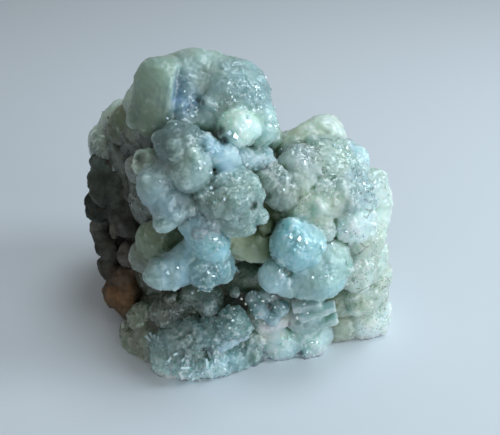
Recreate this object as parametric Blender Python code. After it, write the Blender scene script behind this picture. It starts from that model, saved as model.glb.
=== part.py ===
"""A botryoidal prehnite specimen on a remnant of its dark host rock: one natural stone, one solid.

The scene is in metres, +Z up. The origin is the middle of the flat face that the stone rests on, and the
display side faces -Y. The lengths below are in millimetres.
"""

import math
import random

import bmesh
import bpy
from mathutils import Euler, Matrix, Vector, noise

MM = 0.001

# Driving dimensions
EYE = Vector((2.0, -93.0, 88.0))  # the point that the display side is seen from
LOOK_DOWN = math.radians(35.7)  # how far that look dips below the horizon
EYE_TO_PLANE = 106.7  # from the eye to the plane that the front lumps are laid out on
WARPS = ((7.0, 0.55), (3.1, 0.22))  # wavelength and depth of the unevenness that makes the domes irregular
BEAD_SHARE = (0.28, 0.46)  # a bead's radius as a share of the dome that it grows on
BEAD_SEAT = 0.80  # its centre's distance from the dome's centre, as a share of the radius
FUSE_CELL = 0.5  # finest detail that survives where lumps grow together
MOST_TRIANGLES = 9400
CLEAR_OF_CUT = 0.08  # corners this near the rest face are moved off it, so the cut leaves no slivers
SEED = 11
noise.seed_set(SEED)  # the noise would start from the clock without it

VIEW_RIGHT = Vector((1.0, 0.0, 0.0))
VIEW_AHEAD = Vector((0.0, math.cos(LOOK_DOWN), -math.sin(LOOK_DOWN)))
VIEW_UP = Vector((0.0, math.sin(LOOK_DOWN), math.cos(LOOK_DOWN)))

# Domes of the display side: name, right and up on the layout plane, y of the centre, radius,
# stretch along X, Y and Z, and how many beads grow on it
FRONT_DOMES = (
    # the crown: two big smooth domes either side of a slot
    ("crown_left", -14.0, 20.0, -1.0, 5.2, (0.97, 1.0, 1.28), 0),
    ("crown_left_low", -15.4, 17.6, -2.4, 4.1, (1.0, 1.0, 1.0), 2),
    ("crown_left_edge", -17.5, 20.0, 0.4, 1.8, (1.0, 1.0, 1.3), 1),
    ("crown_top", -9.4, 22.35, 1.8, 5.5, (1.1, 1.0, 1.0), 3),
    ("crown_top_right", -4.7, 21.4, 0.8, 5.1, (1.05, 1.0, 1.0), 2),
    ("crown_middle", -10.9, 19.0, -0.6, 5.1, (0.75, 1.0, 0.98), 0),
    ("crown_right", -2.7, 20.1, -0.6, 5.6, (1.0, 1.0, 1.0), 4),
    ("crown_right_edge", 0.7, 18.4, -0.6, 2.9, (0.9, 1.0, 1.45), 4),
    ("crown_right_low", -4.0, 17.2, -3.0, 3.8, (1.1, 1.0, 1.0), 3),
    ("crown_knob", -2.1, 14.9, -7.2, 2.8, (1.0, 1.0, 1.0), 4),
    ("crown_knob_right", 1.6, 15.6, -3.8, 3.0, (0.9, 1.0, 1.3), 3),
    ("crown_neck", 3.8, 13.5, 0.0, 2.0, (0.9, 1.0, 1.5), 1),
    ("crown_chin", -7.4, 16.3, -4.8, 1.9, (1.2, 1.0, 0.9), 4),
    ("crown_chin_left", -10.6, 16.4, -4.6, 2.1, (1.1, 1.0, 0.9), 3),
    ("crown_under", -4.8, 12.9, -4.2, 2.4, (1.3, 1.0, 0.9), 4),
    # the left shoulder, behind the crown
    ("shoulder", -20.1, 15.8, 4.5, 3.3, (1.05, 1.0, 1.0), 3),
    ("shoulder_right", -17.4, 14.6, 2.0, 3.4, (1.0, 1.0, 1.1), 2),
    ("shoulder_low", -21.0, 13.4, 3.6, 2.4, (1.1, 1.0, 1.0), 3),
    ("shoulder_left", -24.4, 12.4, 5.0, 2.2, (1.0, 1.0, 1.0), 4),
    ("shoulder_left_low", -23.6, 10.6, 4.0, 1.9, (1.3, 1.0, 0.8), 3),
    # the central column of domes
    ("column_top", -11.8, 12.3, -9.5, 3.5, (1.08, 1.0, 0.92), 5),
    ("column_right", -9.6, 7.9, -12.2, 3.3, (1.0, 1.0, 1.0), 6),
    ("column_left_top", -16.7, 9.0, -8.8, 2.3, (1.1, 1.0, 1.0), 4),
    ("column_left_back", -19.0, 7.8, -6.0, 1.8, (1.0, 1.0, 1.2), 2),
    ("column_left", -15.7, 5.0, -12.5, 2.9, (1.0, 1.0, 1.1), 5),
    ("column_left_low", -13.2, 2.2, -13.2, 2.9, (1.1, 1.0, 1.0), 5),
    ("column_middle", -13.0, 7.6, -11.0, 2.6, (1.0, 1.0, 1.0), 3),
    ("column_bead", -14.1, -0.9, -15.4, 1.6, (1.1, 1.0, 0.9), 3),
    ("column_low", -10.6, 2.0, -12.2, 2.7, (1.0, 1.0, 1.2), 4),
    # the central dome and the beads hanging under it
    ("dome", -2.5, 4.0, -12.6, 3.9, (1.05, 1.0, 1.0), 9),
    ("dome_left", -5.9, 3.4, -12.8, 2.8, (1.0, 1.0, 1.0), 6),
    ("dome_low", -2.4, 1.0, -13.4, 2.9, (1.15, 1.0, 0.9), 7),
    ("dome_bead", 1.4, 0.0, -14.4, 1.2, (1.0, 1.0, 0.9), 1),
    ("dome_bead_low", -1.2, -1.4, -14.8, 1.2, (1.0, 1.0, 1.0), 1),
    ("dome_bead_left", -3.6, -1.5, -14.6, 1.3, (1.0, 1.0, 1.0), 1),
    ("neck_left", -2.0, 9.8, -7.2, 2.3, (1.2, 1.0, 0.9), 5),
    ("neck", 1.2, 9.6, -5.4, 2.4, (1.1, 1.0, 0.9), 4),
    # the lower left: a shaded dome, a stubby finger and the ridge that it grows from
    ("hollow_dome", -15.0, -3.6, -8.2, 3.2, (1.3, 1.0, 1.1), 4),
    ("hollow_low", -17.0, -6.6, -8.4, 2.9, (1.2, 1.0, 1.0), 3),
    ("finger_tip", -14.7, -9.4, -16.2, 2.6, (1.0, 1.0, 1.0), 3),
    ("finger", -12.6, -8.8, -15.7, 2.5, (1.1, 1.0, 0.95), 2),
    ("finger_root", -10.2, -6.9, -14.8, 2.4, (1.1, 1.0, 1.0), 3),
    ("ridge", -7.3, -3.6, -14.0, 2.9, (0.95, 1.0, 1.3), 5),
    ("ridge_top", -8.8, -0.6, -13.4, 2.4, (1.2, 1.0, 1.0), 4),
    ("ridge_edge", -5.5, -5.0, -14.8, 1.9, (0.9, 1.0, 1.6), 3),
    ("ridge_low", -7.3, -8.6, -15.4, 2.9, (1.05, 1.0, 1.0), 6),
    ("ridge_foot", -4.5, -8.2, -13.8, 1.8, (1.0, 1.0, 1.3), 3),
    ("ridge_under", -9.8, -8.8, -12.6, 2.3, (1.0, 1.0, 1.0), 2),
    # the deep floor between the ridge and the right-hand mass
    ("olive_dome", 0.4, -4.6, -8.4, 2.9, (1.3, 1.0, 1.0), 5),
    ("olive_left", -2.8, -3.4, -9.0, 2.6, (1.1, 1.0, 1.0), 3),
    ("olive_bead", 2.6, -1.5, -8.8, 1.0, (1.0, 1.0, 1.1), 0),
    ("olive_back", 4.2, 1.0, -4.4, 3.2, (1.3, 1.0, 0.9), 2),
    ("hollow_back", -1.0, -9.8, -5.0, 3.4, (1.3, 1.0, 1.0), 2),
    # the blue-green cluster
    ("teal_dome", 7.5, -4.4, -12.6, 3.9, (1.0, 1.0, 0.98), 7),
    ("teal_low", 11.1, -9.5, -12.8, 4.3, (1.05, 1.0, 0.95), 3),
    ("teal_right", 13.0, -6.6, -11.2, 3.2, (1.0, 1.0, 1.0), 6),
    ("teal_knob", 3.7, -9.9, -14.8, 2.3, (1.0, 1.0, 1.0), 4),
    ("teal_knob_right", 5.9, -10.7, -14.2, 1.6, (1.1, 1.0, 0.9), 2),
    ("teal_middle", 8.0, -8.8, -12.6, 3.0, (1.0, 1.0, 1.0), 5),
    # the right-hand mass
    ("peak", 12.5, 14.3, 3.0, 2.9, (1.0, 1.0, 1.0), 1),
    ("peak_left", 9.8, 12.6, 1.6, 2.9, (1.1, 1.0, 0.9), 1),
    ("peak_saddle", 7.4, 10.9, 0.0, 2.3, (1.0, 1.0, 0.9), 1),
    ("upper_right", 15.9, 9.3, 0.5, 3.5, (1.0, 1.0, 1.0), 3),
    ("upper_middle", 12.6, 9.2, -3.0, 3.8, (1.0, 1.0, 1.0), 9),
    ("upper_left", 8.6, 8.9, -4.6, 2.8, (1.1, 1.0, 0.9), 7),
    ("edge_top", 19.1, 5.0, 0.4, 3.4, (1.0, 1.0, 1.0), 4),
    ("edge_middle", 20.2, 2.9, -0.6, 3.1, (0.95, 1.0, 1.1), 5),
    ("edge_low", 20.2, 0.4, -1.6, 2.9, (0.95, 1.0, 1.1), 4),
    ("right_dome", 15.8, 4.2, -5.5, 4.0, (1.0, 1.0, 1.0), 9),
    ("honey_dome", 9.7, 1.5, -7.8, 3.7, (1.05, 1.0, 1.0), 5),
    ("honey_middle", 12.6, 3.6, -7.2, 3.2, (1.0, 1.0, 1.0), 7),
    ("honey_knob", 11.5, -1.6, -9.6, 2.1, (1.0, 1.0, 1.0), 2),
    ("olive_knob", 8.1, 5.9, -7.2, 2.0, (1.15, 1.0, 0.9), 0),
    ("twin_left", 3.0, 6.2, -7.4, 2.4, (1.0, 1.0, 1.0), 4),
    ("twin_right", 5.2, 4.2, -8.4, 2.4, (1.0, 1.0, 1.0), 5),
    ("right_middle", 16.4, -0.2, -7.6, 3.6, (1.0, 1.0, 1.0), 8),
    ("flank_top", 18.6, -2.8, -5.8, 3.6, (1.0, 1.0, 1.0), 6),
    ("flank_edge", 20.0, -6.6, -4.6, 3.2, (0.95, 1.0, 1.1), 7),
    ("flank", 17.4, -8.6, -7.8, 3.5, (1.0, 1.0, 1.1), 8),
    ("flank_knob", 20.5, -9.8, -5.2, 2.7, (1.0, 1.0, 1.0), 5),
    ("flank_low", 18.3, -12.4, -6.6, 3.6, (1.0, 1.0, 1.0), 6),
    ("flank_inner", 14.6, -13.6, -7.0, 2.6, (1.1, 1.0, 1.0), 3),
    ("flank_foot", 18.8, -16.4, -6.0, 4.0, (1.05, 1.0, 1.0), 6),
    ("flank_foot_right", 20.3, -16.4, -4.6, 3.1, (1.0, 1.0, 1.0), 4),
    ("flank_foot_left", 14.4, -17.8, -7.4, 3.3, (1.0, 1.0, 1.0), 3),
    ("flank_edge_low", 20.3, -12.9, -4.4, 2.6, (1.0, 1.0, 1.1), 3),
    # the hollow under the blue-green cluster
    ("cave_back", 5.0, -13.6, -7.0, 3.4, (1.5, 1.0, 1.0), 5),
    ("cave_floor", 3.0, -16.6, -10.6, 2.9, (1.2, 1.0, 1.0), 6),
    ("cave_right", 9.2, -16.2, -10.2, 2.9, (1.3, 1.0, 0.9), 3),
    ("cave_gap", 7.4, -18.4, -9.2, 2.9, (1.3, 1.0, 1.0), 3),
    ("cave_gap_left", 1.9, -19.6, -11.2, 2.3, (1.2, 1.0, 1.0), 3),
    ("cave_left", -8.0, -13.4, -8.6, 3.3, (1.2, 1.0, 1.0), 4),
    # the foot, which reaches furthest forward
    ("foot_centre", -3.0, -17.8, -14.8, 2.6, (1.1, 1.0, 1.1), 6),
    ("foot_centre_left", -6.2, -18.9, -14.2, 2.6, (1.0, 1.0, 1.0), 4),
    ("foot_bead", -7.0, -15.0, -13.0, 1.3, (0.9, 1.0, 1.2), 1),
    ("foot_front", -9.8, -20.6, -14.6, 3.7, (1.2, 0.95, 1.05), 3),
    ("foot_front_left", -13.0, -21.4, -13.6, 3.2, (1.0, 1.0, 1.0), 4),
    ("toe", -9.8, -24.4, -16.0, 2.8, (1.4, 1.0, 1.0), 5),
    ("toe_left", -13.4, -24.6, -15.8, 2.6, (1.2, 1.0, 1.0), 3),
    ("toe_right", -6.0, -24.2, -16.6, 2.6, (1.3, 1.0, 1.0), 4),
    ("foot_dome", -1.0, -21.3, -13.0, 3.1, (1.0, 1.0, 1.1), 2),
    ("foot_dome_low", -0.2, -23.2, -12.8, 2.6, (1.3, 1.0, 0.9), 3),
    ("foot_right", 4.8, -20.6, -12.0, 2.7, (1.0, 1.0, 1.15), 3),
    ("foot_right_low", 5.0, -22.4, -11.6, 2.2, (1.3, 1.0, 0.9), 2),
    ("foot_right_edge", 9.6, -21.0, -11.0, 2.8, (1.05, 1.0, 1.1), 4),
    ("foot_left", -16.4, -20.8, -11.4, 3.1, (1.1, 1.0, 1.0), 3),
    ("foot_left_low", -16.0, -23.6, -12.4, 2.4, (1.1, 1.0, 1.0), 2),
    ("foot_left_edge", -20.3, -19.2, -7.6, 1.7, (0.95, 1.0, 1.4), 2),
    ("foot_left_back", -17.8, -16.2, -7.4, 2.7, (1.1, 1.0, 1.0), 3),
    ("foot_shade", -13.0, -15.6, -9.6, 3.1, (1.3, 1.0, 1.0), 3),
    ("foot_fill", -3.4, -20.6, -11.6, 3.6, (1.5, 1.0, 1.2), 2),
    ("foot_fill_right", 6.6, -20.4, -10.2, 3.2, (1.6, 1.0, 1.1), 2),
    ("foot_gap_fill", 11.4, -18.6, -8.8, 2.6, (1.2, 1.0, 1.0), 1),
    ("foot_left_corner", -18.8, -20.8, -10.0, 2.3, (1.1, 1.0, 1.0), 2),
    ("foot_under", -3.2, -23.2, -15.2, 2.3, (1.3, 1.0, 1.0), 1),
    # small crystals in the gaps between the domes
    ("blue_crystal_1", -7.1, 12.5, -9.6, 1.2, (1.0, 1.0, 1.0), 2),
    ("blue_crystal_2", -5.9, 11.2, -10.2, 1.4, (1.1, 1.0, 0.9), 3),
    ("blue_crystal_3", -4.8, 9.9, -10.8, 1.4, (1.0, 1.0, 1.0), 3),
    ("blue_crystal_4", -3.5, 10.7, -10.0, 1.3, (1.0, 1.0, 1.0), 3),
    ("blue_crystal_5", -2.7, 9.5, -9.8, 1.1, (1.0, 1.0, 1.0), 2),
    ("blue_crystal_6", -4.1, 8.7, -11.2, 1.0, (1.0, 1.0, 1.0), 2),
    ("ridge_crest", -6.4, -0.9, -14.4, 1.5, (0.9, 1.0, 1.3), 3),
    ("ridge_flake", -8.6, -2.6, -15.8, 1.2, (1.0, 1.0, 1.2), 2),
    ("hollow_knob", -2.7, -12.5, -10.8, 1.1, (1.0, 1.0, 1.0), 1),
    ("cave_crystal_1", 0.6, -13.8, -10.2, 1.3, (1.2, 1.0, 0.9), 3),
    ("cave_crystal_2", 3.4, -13.2, -9.6, 1.2, (1.2, 1.0, 1.0), 3),
    ("cave_crystal_3", 1.6, -15.4, -12.2, 1.4, (1.0, 1.0, 1.0), 3),
    ("cave_crystal_4", 5.2, -15.2, -11.4, 1.3, (1.1, 1.0, 1.0), 3),
    ("cave_crystal_5", 3.6, -17.0, -12.8, 1.3, (1.1, 1.0, 1.0), 3),
    ("cave_crystal_6", 6.8, -17.2, -11.6, 1.2, (1.0, 1.0, 1.0), 3),
    ("foot_crystal_1", -1.6, -19.4, -15.2, 1.3, (1.0, 1.0, 1.1), 3),
    ("foot_crystal_2", -3.6, -20.4, -16.0, 1.3, (1.0, 1.0, 1.2), 3),
    ("foot_crystal_3", -5.4, -21.6, -16.8, 1.4, (1.0, 1.0, 1.1), 3),
    ("foot_crystal_4", 2.4, -22.6, -13.4, 1.3, (1.1, 1.0, 1.0), 2),
    ("foot_crystal_5", 7.2, -21.8, -12.6, 1.3, (1.0, 1.0, 1.1), 2),
)

# Domes round the sides, on top behind the crown and along the back's rim: name, x, y, z, radius,
# stretch and beads
SIDE_DOMES = (
    ("crown_back", -7.5, 6.5, 43.2, 5.6, (1.1, 0.9, 0.9), 6),
    ("crown_back_left", -14.0, 6.0, 40.2, 4.8, (1.0, 0.9, 1.0), 5),
    ("crown_back_right", -1.5, 5.6, 40.0, 4.6, (0.9, 1.0, 1.1), 5),
    ("saddle_back", 5.0, 7.5, 27.0, 4.3, (1.2, 1.0, 1.0), 6),
    ("peak_back", 11.0, 9.0, 29.2, 4.4, (1.1, 0.9, 1.0), 6),
    ("right_back_top", 17.0, 7.5, 27.4, 4.4, (1.0, 1.0, 1.0), 7),
    ("right_side_top", 20.5, 4.5, 25.0, 4.2, (0.9, 1.1, 1.0), 7),
    ("right_side", 21.5, 3.0, 17.0, 4.2, (0.9, 1.1, 1.1), 7),
    ("right_side_back", 19.5, 9.0, 20.0, 4.2, (0.9, 1.0, 1.2), 6),
    ("right_side_low", 21.0, 3.0, 8.5, 4.0, (0.9, 1.1, 1.1), 6),
    ("right_side_foot", 20.5, 3.5, 2.5, 3.8, (0.9, 1.2, 1.0), 5),
    ("right_back_low", 18.5, 9.5, 9.5, 4.2, (0.9, 1.0, 1.2), 5),
    ("left_back_top", -20.5, 9.5, 35.0, 3.6, (1.0, 1.0, 1.0), 5),
    ("left_back_edge", -24.5, 9.0, 31.5, 2.8, (1.0, 1.1, 1.0), 4),
)

# The filling behind them: name, x, y, z, radius and stretch
FILLING = (
    ("under_crown", -8.0, 3.0, 39.0, 8.0, (1.1, 0.9, 1.0)),
    ("under_shoulder", -15.0, 5.5, 32.0, 8.0, (1.0, 0.9, 1.0)),
    ("under_column", -10.0, -0.5, 27.0, 9.0, (1.0, 0.9, 1.0)),
    ("under_dome", -1.5, 1.5, 24.0, 8.5, (1.2, 1.0, 1.1)),
    ("under_foot", -7.0, 1.0, 10.0, 9.5, (1.4, 0.9, 1.1)),
    ("in_the_foot", -8.0, -6.0, 2.0, 7.0, (1.6, 1.2, 0.9)),
    ("under_right", 12.0, 4.0, 23.0, 8.5, (1.0, 0.9, 1.2)),
    ("in_the_flank", 14.0, 1.0, 8.0, 7.5, (1.0, 1.0, 1.2)),
    ("under_cave", 4.0, -2.5, 5.0, 7.5, (1.3, 1.1, 0.9)),
    ("in_the_base", -2.0, 0.5, 2.0, 9.0, (1.9, 1.2, 0.7)),
    ("in_the_right_foot", 15.0, 4.0, 2.0, 6.0, (1.0, 1.2, 0.9)),
)

# Grey, brown and rusty lumps of the shaded left side: name, right and up on the layout plane, y, radius
# and stretch
LEFT_LUMPS = (
    ("left_under_shoulder", -24.8, 9.2, 3.6, 2.1, (1.0, 1.0, 1.1)),
    ("left_cavity_side", -21.4, 7.4, 2.6, 2.3, (1.1, 1.0, 1.0)),
    ("left_crumb_top", -23.0, 7.6, 2.0, 1.0, (1.0, 1.0, 1.2)),
    ("left_high", -24.9, 6.4, 3.0, 2.3, (1.0, 1.0, 1.2)),
    ("left_upper", -22.2, 4.2, 1.2, 2.4, (1.0, 1.0, 1.3)),
    ("left_strip", -19.8, 5.0, -1.6, 1.8, (0.9, 1.0, 1.9)),
    ("left_dark", -25.1, 1.8, 3.0, 2.4, (1.0, 1.0, 1.3)),
    ("left_middle", -22.2, 0.8, 1.0, 2.0, (1.1, 1.0, 1.1)),
    ("left_bead", -22.6, -2.4, -0.6, 1.1, (0.9, 1.0, 1.6)),
    ("left_grey", -20.2, -1.6, -1.6, 2.1, (1.1, 1.0, 1.0)),
    ("left_corner", -25.0, -1.4, 3.0, 1.5, (1.2, 1.0, 0.8)),
    ("left_low", -23.4, -4.6, 1.4, 2.5, (1.0, 1.0, 1.2)),
    ("left_lower", -23.4, -8.2, 1.0, 2.5, (1.0, 1.0, 1.1)),
    ("left_pink", -20.4, -6.2, -2.6, 2.1, (1.0, 1.0, 1.2)),
    ("rust_top", -21.0, -10.0, -1.8, 2.4, (1.1, 1.0, 1.0)),
    ("rust_side", -22.6, -12.0, -0.6, 2.2, (1.0, 1.0, 1.1)),
    ("rust_front", -20.0, -12.4, -3.0, 2.3, (1.0, 1.0, 1.0)),
    ("rust_foot", -20.4, -14.8, -2.6, 2.0, (1.0, 1.0, 1.2)),
)

# Broken host rock: each block is the hull of these corners, x, y, z
ROCK_BLOCKS = {
    "rock_left": (
        (-24.4, 6.0, 31.0), (-25.4, 6.0, 22.5), (-24.4, 4.6, 13.0), (-23.8, 5.2, 5.0),
        (-17.5, 0.8, 30.0), (-18.4, -2.0, 20.0), (-18.8, -1.8, 10.0), (-17.8, -0.4, 1.0),
        (-22.6, 6.0, -1.0), (-22.4, 14.0, -1.0), (-24.6, 14.0, 12.0), (-24.0, 13.0, 27.0),
        (-15.0, 16.0, 33.0), (-12.0, 17.0, -1.0), (-10.0, 4.0, 32.0), (-10.0, 2.0, -1.0),
    ),
    "rock_ledge": (
        (-25.4, 3.2, 24.0), (-27.0, 6.0, 20.0), (-25.8, 4.4, 17.0), (-21.6, 1.0, 22.0),
        (-21.6, 2.0, 17.5), (-23.0, 8.0, 25.0), (-23.0, 9.0, 16.0),
    ),
    "rock_back": (
        (-17.0, 14.6, 36.0), (-6.0, 14.4, 39.0), (5.0, 14.0, 32.0), (14.0, 13.6, 28.0),
        (19.0, 12.4, 22.0), (19.4, 13.0, 10.0), (18.0, 12.0, -1.0), (6.0, 16.8, -1.0),
        (-9.0, 17.4, -1.0), (-20.0, 15.4, -1.0), (-12.0, 17.4, 16.0), (3.0, 17.4, 20.0),
        (-14.0, 4.0, 30.0), (14.0, 4.0, 24.0), (14.0, 4.0, -1.0), (-14.0, 4.0, -1.0),
    ),
    "rock_step": (
        (-10.0, 15.0, 34.0), (1.0, 15.0, 30.0), (4.0, 18.2, 25.0), (-10.0, 18.8, 27.0),
        (-13.0, 18.2, 14.0), (-1.0, 19.2, 12.0), (2.0, 12.0, 22.0), (-10.0, 12.0, 24.0),
    ),
}

# Rusty weathered lumps of rock: name, x, y, z, radius and stretch
ROCK_LUMPS = (
    ("rust_lump", -22.6, -1.6, 4.2, 3.3, (1.1, 1.0, 0.95)),
    ("rust_lump_low", -20.0, -4.6, 2.6, 2.4, (1.2, 1.0, 1.0)),
    ("rust_step", -24.2, 2.4, 8.6, 2.4, (0.9, 1.0, 1.3)),
    ("left_crumb", -25.6, 2.4, 15.4, 1.9, (0.9, 1.0, 1.2)),
    ("left_crumb_high", -23.8, 0.6, 26.0, 2.1, (1.0, 1.0, 1.2)),
)

# Ledges that roughen the host rock: the box that their middles lie in (its two corners), the least and
# the most that one measures along X, Y and Z, and how many there are
LEDGES = (
    ((-24.4, 6.0, 2.0), (-22.0, 13.0, 29.0), (2.0, 4.0, 3.0), (4.0, 8.0, 7.0), 34),
    ((-20.5, -1.4, 2.0), (-18.0, 0.8, 27.0), (2.5, 1.5, 2.5), (4.0, 2.8, 4.5), 12),
    ((-15.0, 15.6, 1.0), (14.0, 17.2, 25.5), (4.0, 1.6, 3.0), (11.0, 3.6, 8.0), 70),
    ((14.0, 12.0, 1.0), (18.0, 14.0, 22.0), (3.0, 2.0, 3.0), (6.0, 4.0, 7.0), 14),
)
LEDGE_LEAN = 16.0

# Sheaves of upright crystal blades: name, right, up, y, half-width of the sheaf, blades, and a blade's length
SHEAVES = (
    ("toe_sheaf", -9.8, -24.2, -17.4, 3.4, 30, 2.0),
    ("toe_sheaf_right", -5.8, -22.4, -17.0, 1.8, 16, 1.8),
    ("foot_left_sheaf", -16.4, -20.4, -14.0, 1.3, 7, 1.7),
    ("cave_sheaf", 3.0, -14.6, -11.8, 2.8, 16, 1.3),
)
SHEAF_LEAN = 24.0

# Long plates lying in the cave's right side: right, up, y, length, and turn about the look, in degrees
PLATES = (
    (11.2, -15.6, -13.0, 6.6, 23.0),
    (9.4, -14.6, -12.4, 5.0, 14.0),
    (12.6, -17.2, -12.2, 4.6, 26.0),
)
PLATE_WIDTH, PLATE_THICKNESS = 2.4, 1.2

# The crown's left domes end at an upright break, where a crystal has gone: three points of it, right, up, y
BREAK = ((-12.4, 25.6, -2.0), (-10.3, 20.9, 4.0), (-13.4, 16.4, -7.0))
BROKEN_DOMES = ("crown_left", "crown_left_low", "crown_left_edge")


def place(right, up, y):
    """The point at depth y along Y that is seen at (right, up) of the layout plane."""
    ray = VIEW_RIGHT * right + VIEW_UP * up + VIEW_AHEAD * EYE_TO_PLANE
    return EYE + ray * ((y - EYE.y) / ray.y)


def turned(degrees):
    return Euler([math.radians(angle) for angle in degrees]).to_matrix().to_4x4()


def any_direction(rng):
    """A direction picked evenly over the sphere."""
    z = rng.uniform(-1.0, 1.0)
    angle = rng.uniform(0.0, 2.0 * math.pi)
    flat = math.sqrt(1.0 - z * z)
    return Vector((flat * math.cos(angle), flat * math.sin(angle), z))


def domes():
    """Every dome as (name, centre, its three radii, how many beads grow on it)."""
    for name, right, up, y, radius, stretch, beads in FRONT_DOMES:
        yield name, place(right, up, y), Vector(stretch) * radius, beads
    for name, x, y, z, radius, stretch, beads in SIDE_DOMES:
        yield name, Vector((x, y, z)), Vector(stretch) * radius, beads


def beads_on(centre, radii, count, rng):
    """Smaller domes that sit half sunk in a dome, as (centre, radius)."""
    for _ in range(count):
        out = any_direction(rng)
        seat = Vector((out.x * radii.x, out.y * radii.y, out.z * radii.z)) * BEAD_SEAT
        yield centre + seat, min(radii) * rng.uniform(*BEAD_SHARE)


def add_dome(bm, centre, radii, detail=3):
    shape = Matrix.Translation(centre) @ Matrix.Diagonal((*radii, 1.0))
    return bmesh.ops.create_icosphere(bm, subdivisions=detail, radius=1.0, matrix=shape)["verts"]


def break_off(verts):
    """Flattens onto the break what stands to the right of it."""
    top, back, foot = (place(*point) for point in BREAK)
    outward = (foot - top).cross(back - top).normalized()
    for vert in verts:
        vert.co -= outward * max(0.0, (vert.co - top).dot(outward))


def add_domes(bm):
    rng = random.Random(SEED)
    for name, centre, radii, beads in domes():
        dome = add_dome(bm, centre, radii)
        if name in BROKEN_DOMES:
            break_off(dome)
        for bead_centre, bead_radius in beads_on(centre, radii, beads, rng):
            add_dome(bm, bead_centre, (bead_radius,) * 3, detail=2)
    for _, x, y, z, radius, stretch in (*FILLING, *ROCK_LUMPS):
        add_dome(bm, Vector((x, y, z)), Vector(stretch) * radius)
    for _, right, up, y, radius, stretch in LEFT_LUMPS:
        add_dome(bm, place(right, up, y), Vector(stretch) * radius)


def warp(bm):
    """Bends the domes a little, so that none is a true ball."""
    for vert in bm.verts:
        for length, depth in WARPS:
            vert.co += noise.noise_vector(vert.co / length) * depth


def add_rock(bm):
    for corners in ROCK_BLOCKS.values():
        add_hull(bm, corners)


def add_block(bm, shape, size):
    bmesh.ops.create_cube(bm, size=1.0, matrix=shape @ Matrix.Diagonal((*size, 1.0)))


def add_ledges(bm):
    rng = random.Random(SEED + 2)
    for low, high, least, most, count in LEDGES:
        for _ in range(count):
            at = Matrix.Translation([rng.uniform(*ends) for ends in zip(low, high)])
            lean = turned([rng.uniform(-LEDGE_LEAN, LEDGE_LEAN) for _ in range(3)])
            add_block(bm, at @ lean, [rng.uniform(*ends) for ends in zip(least, most)])


def add_crystals(bm):
    rng = random.Random(SEED + 1)
    for _, right, up, y, spread, count, length in SHEAVES:
        middle = place(right, up, y)
        for _ in range(count):
            at = middle + any_direction(rng) * spread * rng.uniform(0.3, 1.0)
            lean = turned([rng.uniform(-SHEAF_LEAN, SHEAF_LEAN) for _ in range(3)])
            grown = length * rng.uniform(0.8, 1.2)
            add_block(bm, Matrix.Translation(at) @ lean, (grown * 0.35, grown * 0.6, grown))
    for right, up, y, length, turn in PLATES:
        lie = turned((0.0, -turn, 0.0))
        size = (length, PLATE_WIDTH, PLATE_THICKNESS)
        add_block(bm, Matrix.Translation(place(right, up, y)) @ lie, size)


def mesh_object(name, bm):
    bmesh.ops.scale(bm, vec=(MM, MM, MM), verts=bm.verts)
    mesh = bpy.data.meshes.new(name)
    bm.to_mesh(mesh)
    bm.free()
    obj = bpy.data.objects.new(name, mesh)
    bpy.context.scene.collection.objects.link(obj)
    return obj


def add_hull(bm, corners):
    verts = [bm.verts.new(corner) for corner in corners]
    hull = bmesh.ops.convex_hull(bm, input=verts)
    inside = {item for item in hull["geom_interior"] if isinstance(item, bmesh.types.BMVert)}
    bmesh.ops.delete(bm, geom=list(inside), context="VERTS")


def settled(obj):
    """Turns the modifiers' result into the object's own mesh."""
    bpy.context.view_layer.update()
    evaluated = obj.evaluated_get(bpy.context.evaluated_depsgraph_get())
    mesh = bpy.data.meshes.new_from_object(evaluated)
    obj.modifiers.clear()
    obj.data = mesh


def islands(bm):
    """The separate shells of a mesh, each as its vertices, the largest first."""
    waiting = set(bm.verts)
    found = []
    while waiting:
        island = {waiting.pop()}
        edge_of_island = list(island)
        while edge_of_island:
            vert = edge_of_island.pop()
            for edge in vert.link_edges:
                other = edge.other_vert(vert)
                if other in waiting:
                    waiting.remove(other)
                    island.add(other)
                    edge_of_island.append(other)
        found.append(island)
    return sorted(found, key=len, reverse=True)


def keep_largest(bm):
    for island in islands(bm)[1:]:
        bmesh.ops.delete(bm, geom=list(island), context="VERTS")


def fuse(obj):
    """Grows all the lumps together into one closed skin, then thins its triangles."""
    remesh = obj.modifiers.new("grown together", "REMESH")
    remesh.mode = "VOXEL"
    remesh.voxel_size = FUSE_CELL * MM
    soften = obj.modifiers.new("softened creases", "SMOOTH")
    soften.factor = 0.4
    soften.iterations = 1
    settled(obj)
    bm = bmesh.new()
    bm.from_mesh(obj.data)
    keep_largest(bm)
    bmesh.ops.triangulate(bm, faces=bm.faces)
    triangles = len(bm.faces)
    bm.to_mesh(obj.data)
    bm.free()
    thin = obj.modifiers.new("fewer triangles", "DECIMATE")
    thin.ratio = min(1.0, MOST_TRIANGLES / triangles)
    settled(obj)


def cut_rest_face(obj):
    """Cuts the stone level at z = 0, the flat face that it rests on."""
    bm = bmesh.new()
    bm.from_mesh(obj.data)
    for vert in bm.verts:
        if abs(vert.co.z) < CLEAR_OF_CUT * MM:
            vert.co.z = math.copysign(CLEAR_OF_CUT * MM, vert.co.z)
    everything = [*bm.verts, *bm.edges, *bm.faces]
    level = {"plane_co": (0, 0, 0), "plane_no": (0, 0, 1), "clear_inner": True}
    bmesh.ops.bisect_plane(bm, geom=everything, dist=1e-9, **level)
    keep_largest(bm)
    rim = [edge for edge in bm.edges if edge.is_boundary]
    bmesh.ops.triangle_fill(bm, edges=rim, use_beauty=True, normal=(0, 0, -1))
    bmesh.ops.recalc_face_normals(bm, faces=bm.faces)
    print("open or shared edges:", sum(not edge.is_manifold for edge in bm.edges), "shells:", len(islands(bm)))
    bm.to_mesh(obj.data)
    bm.free()


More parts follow.
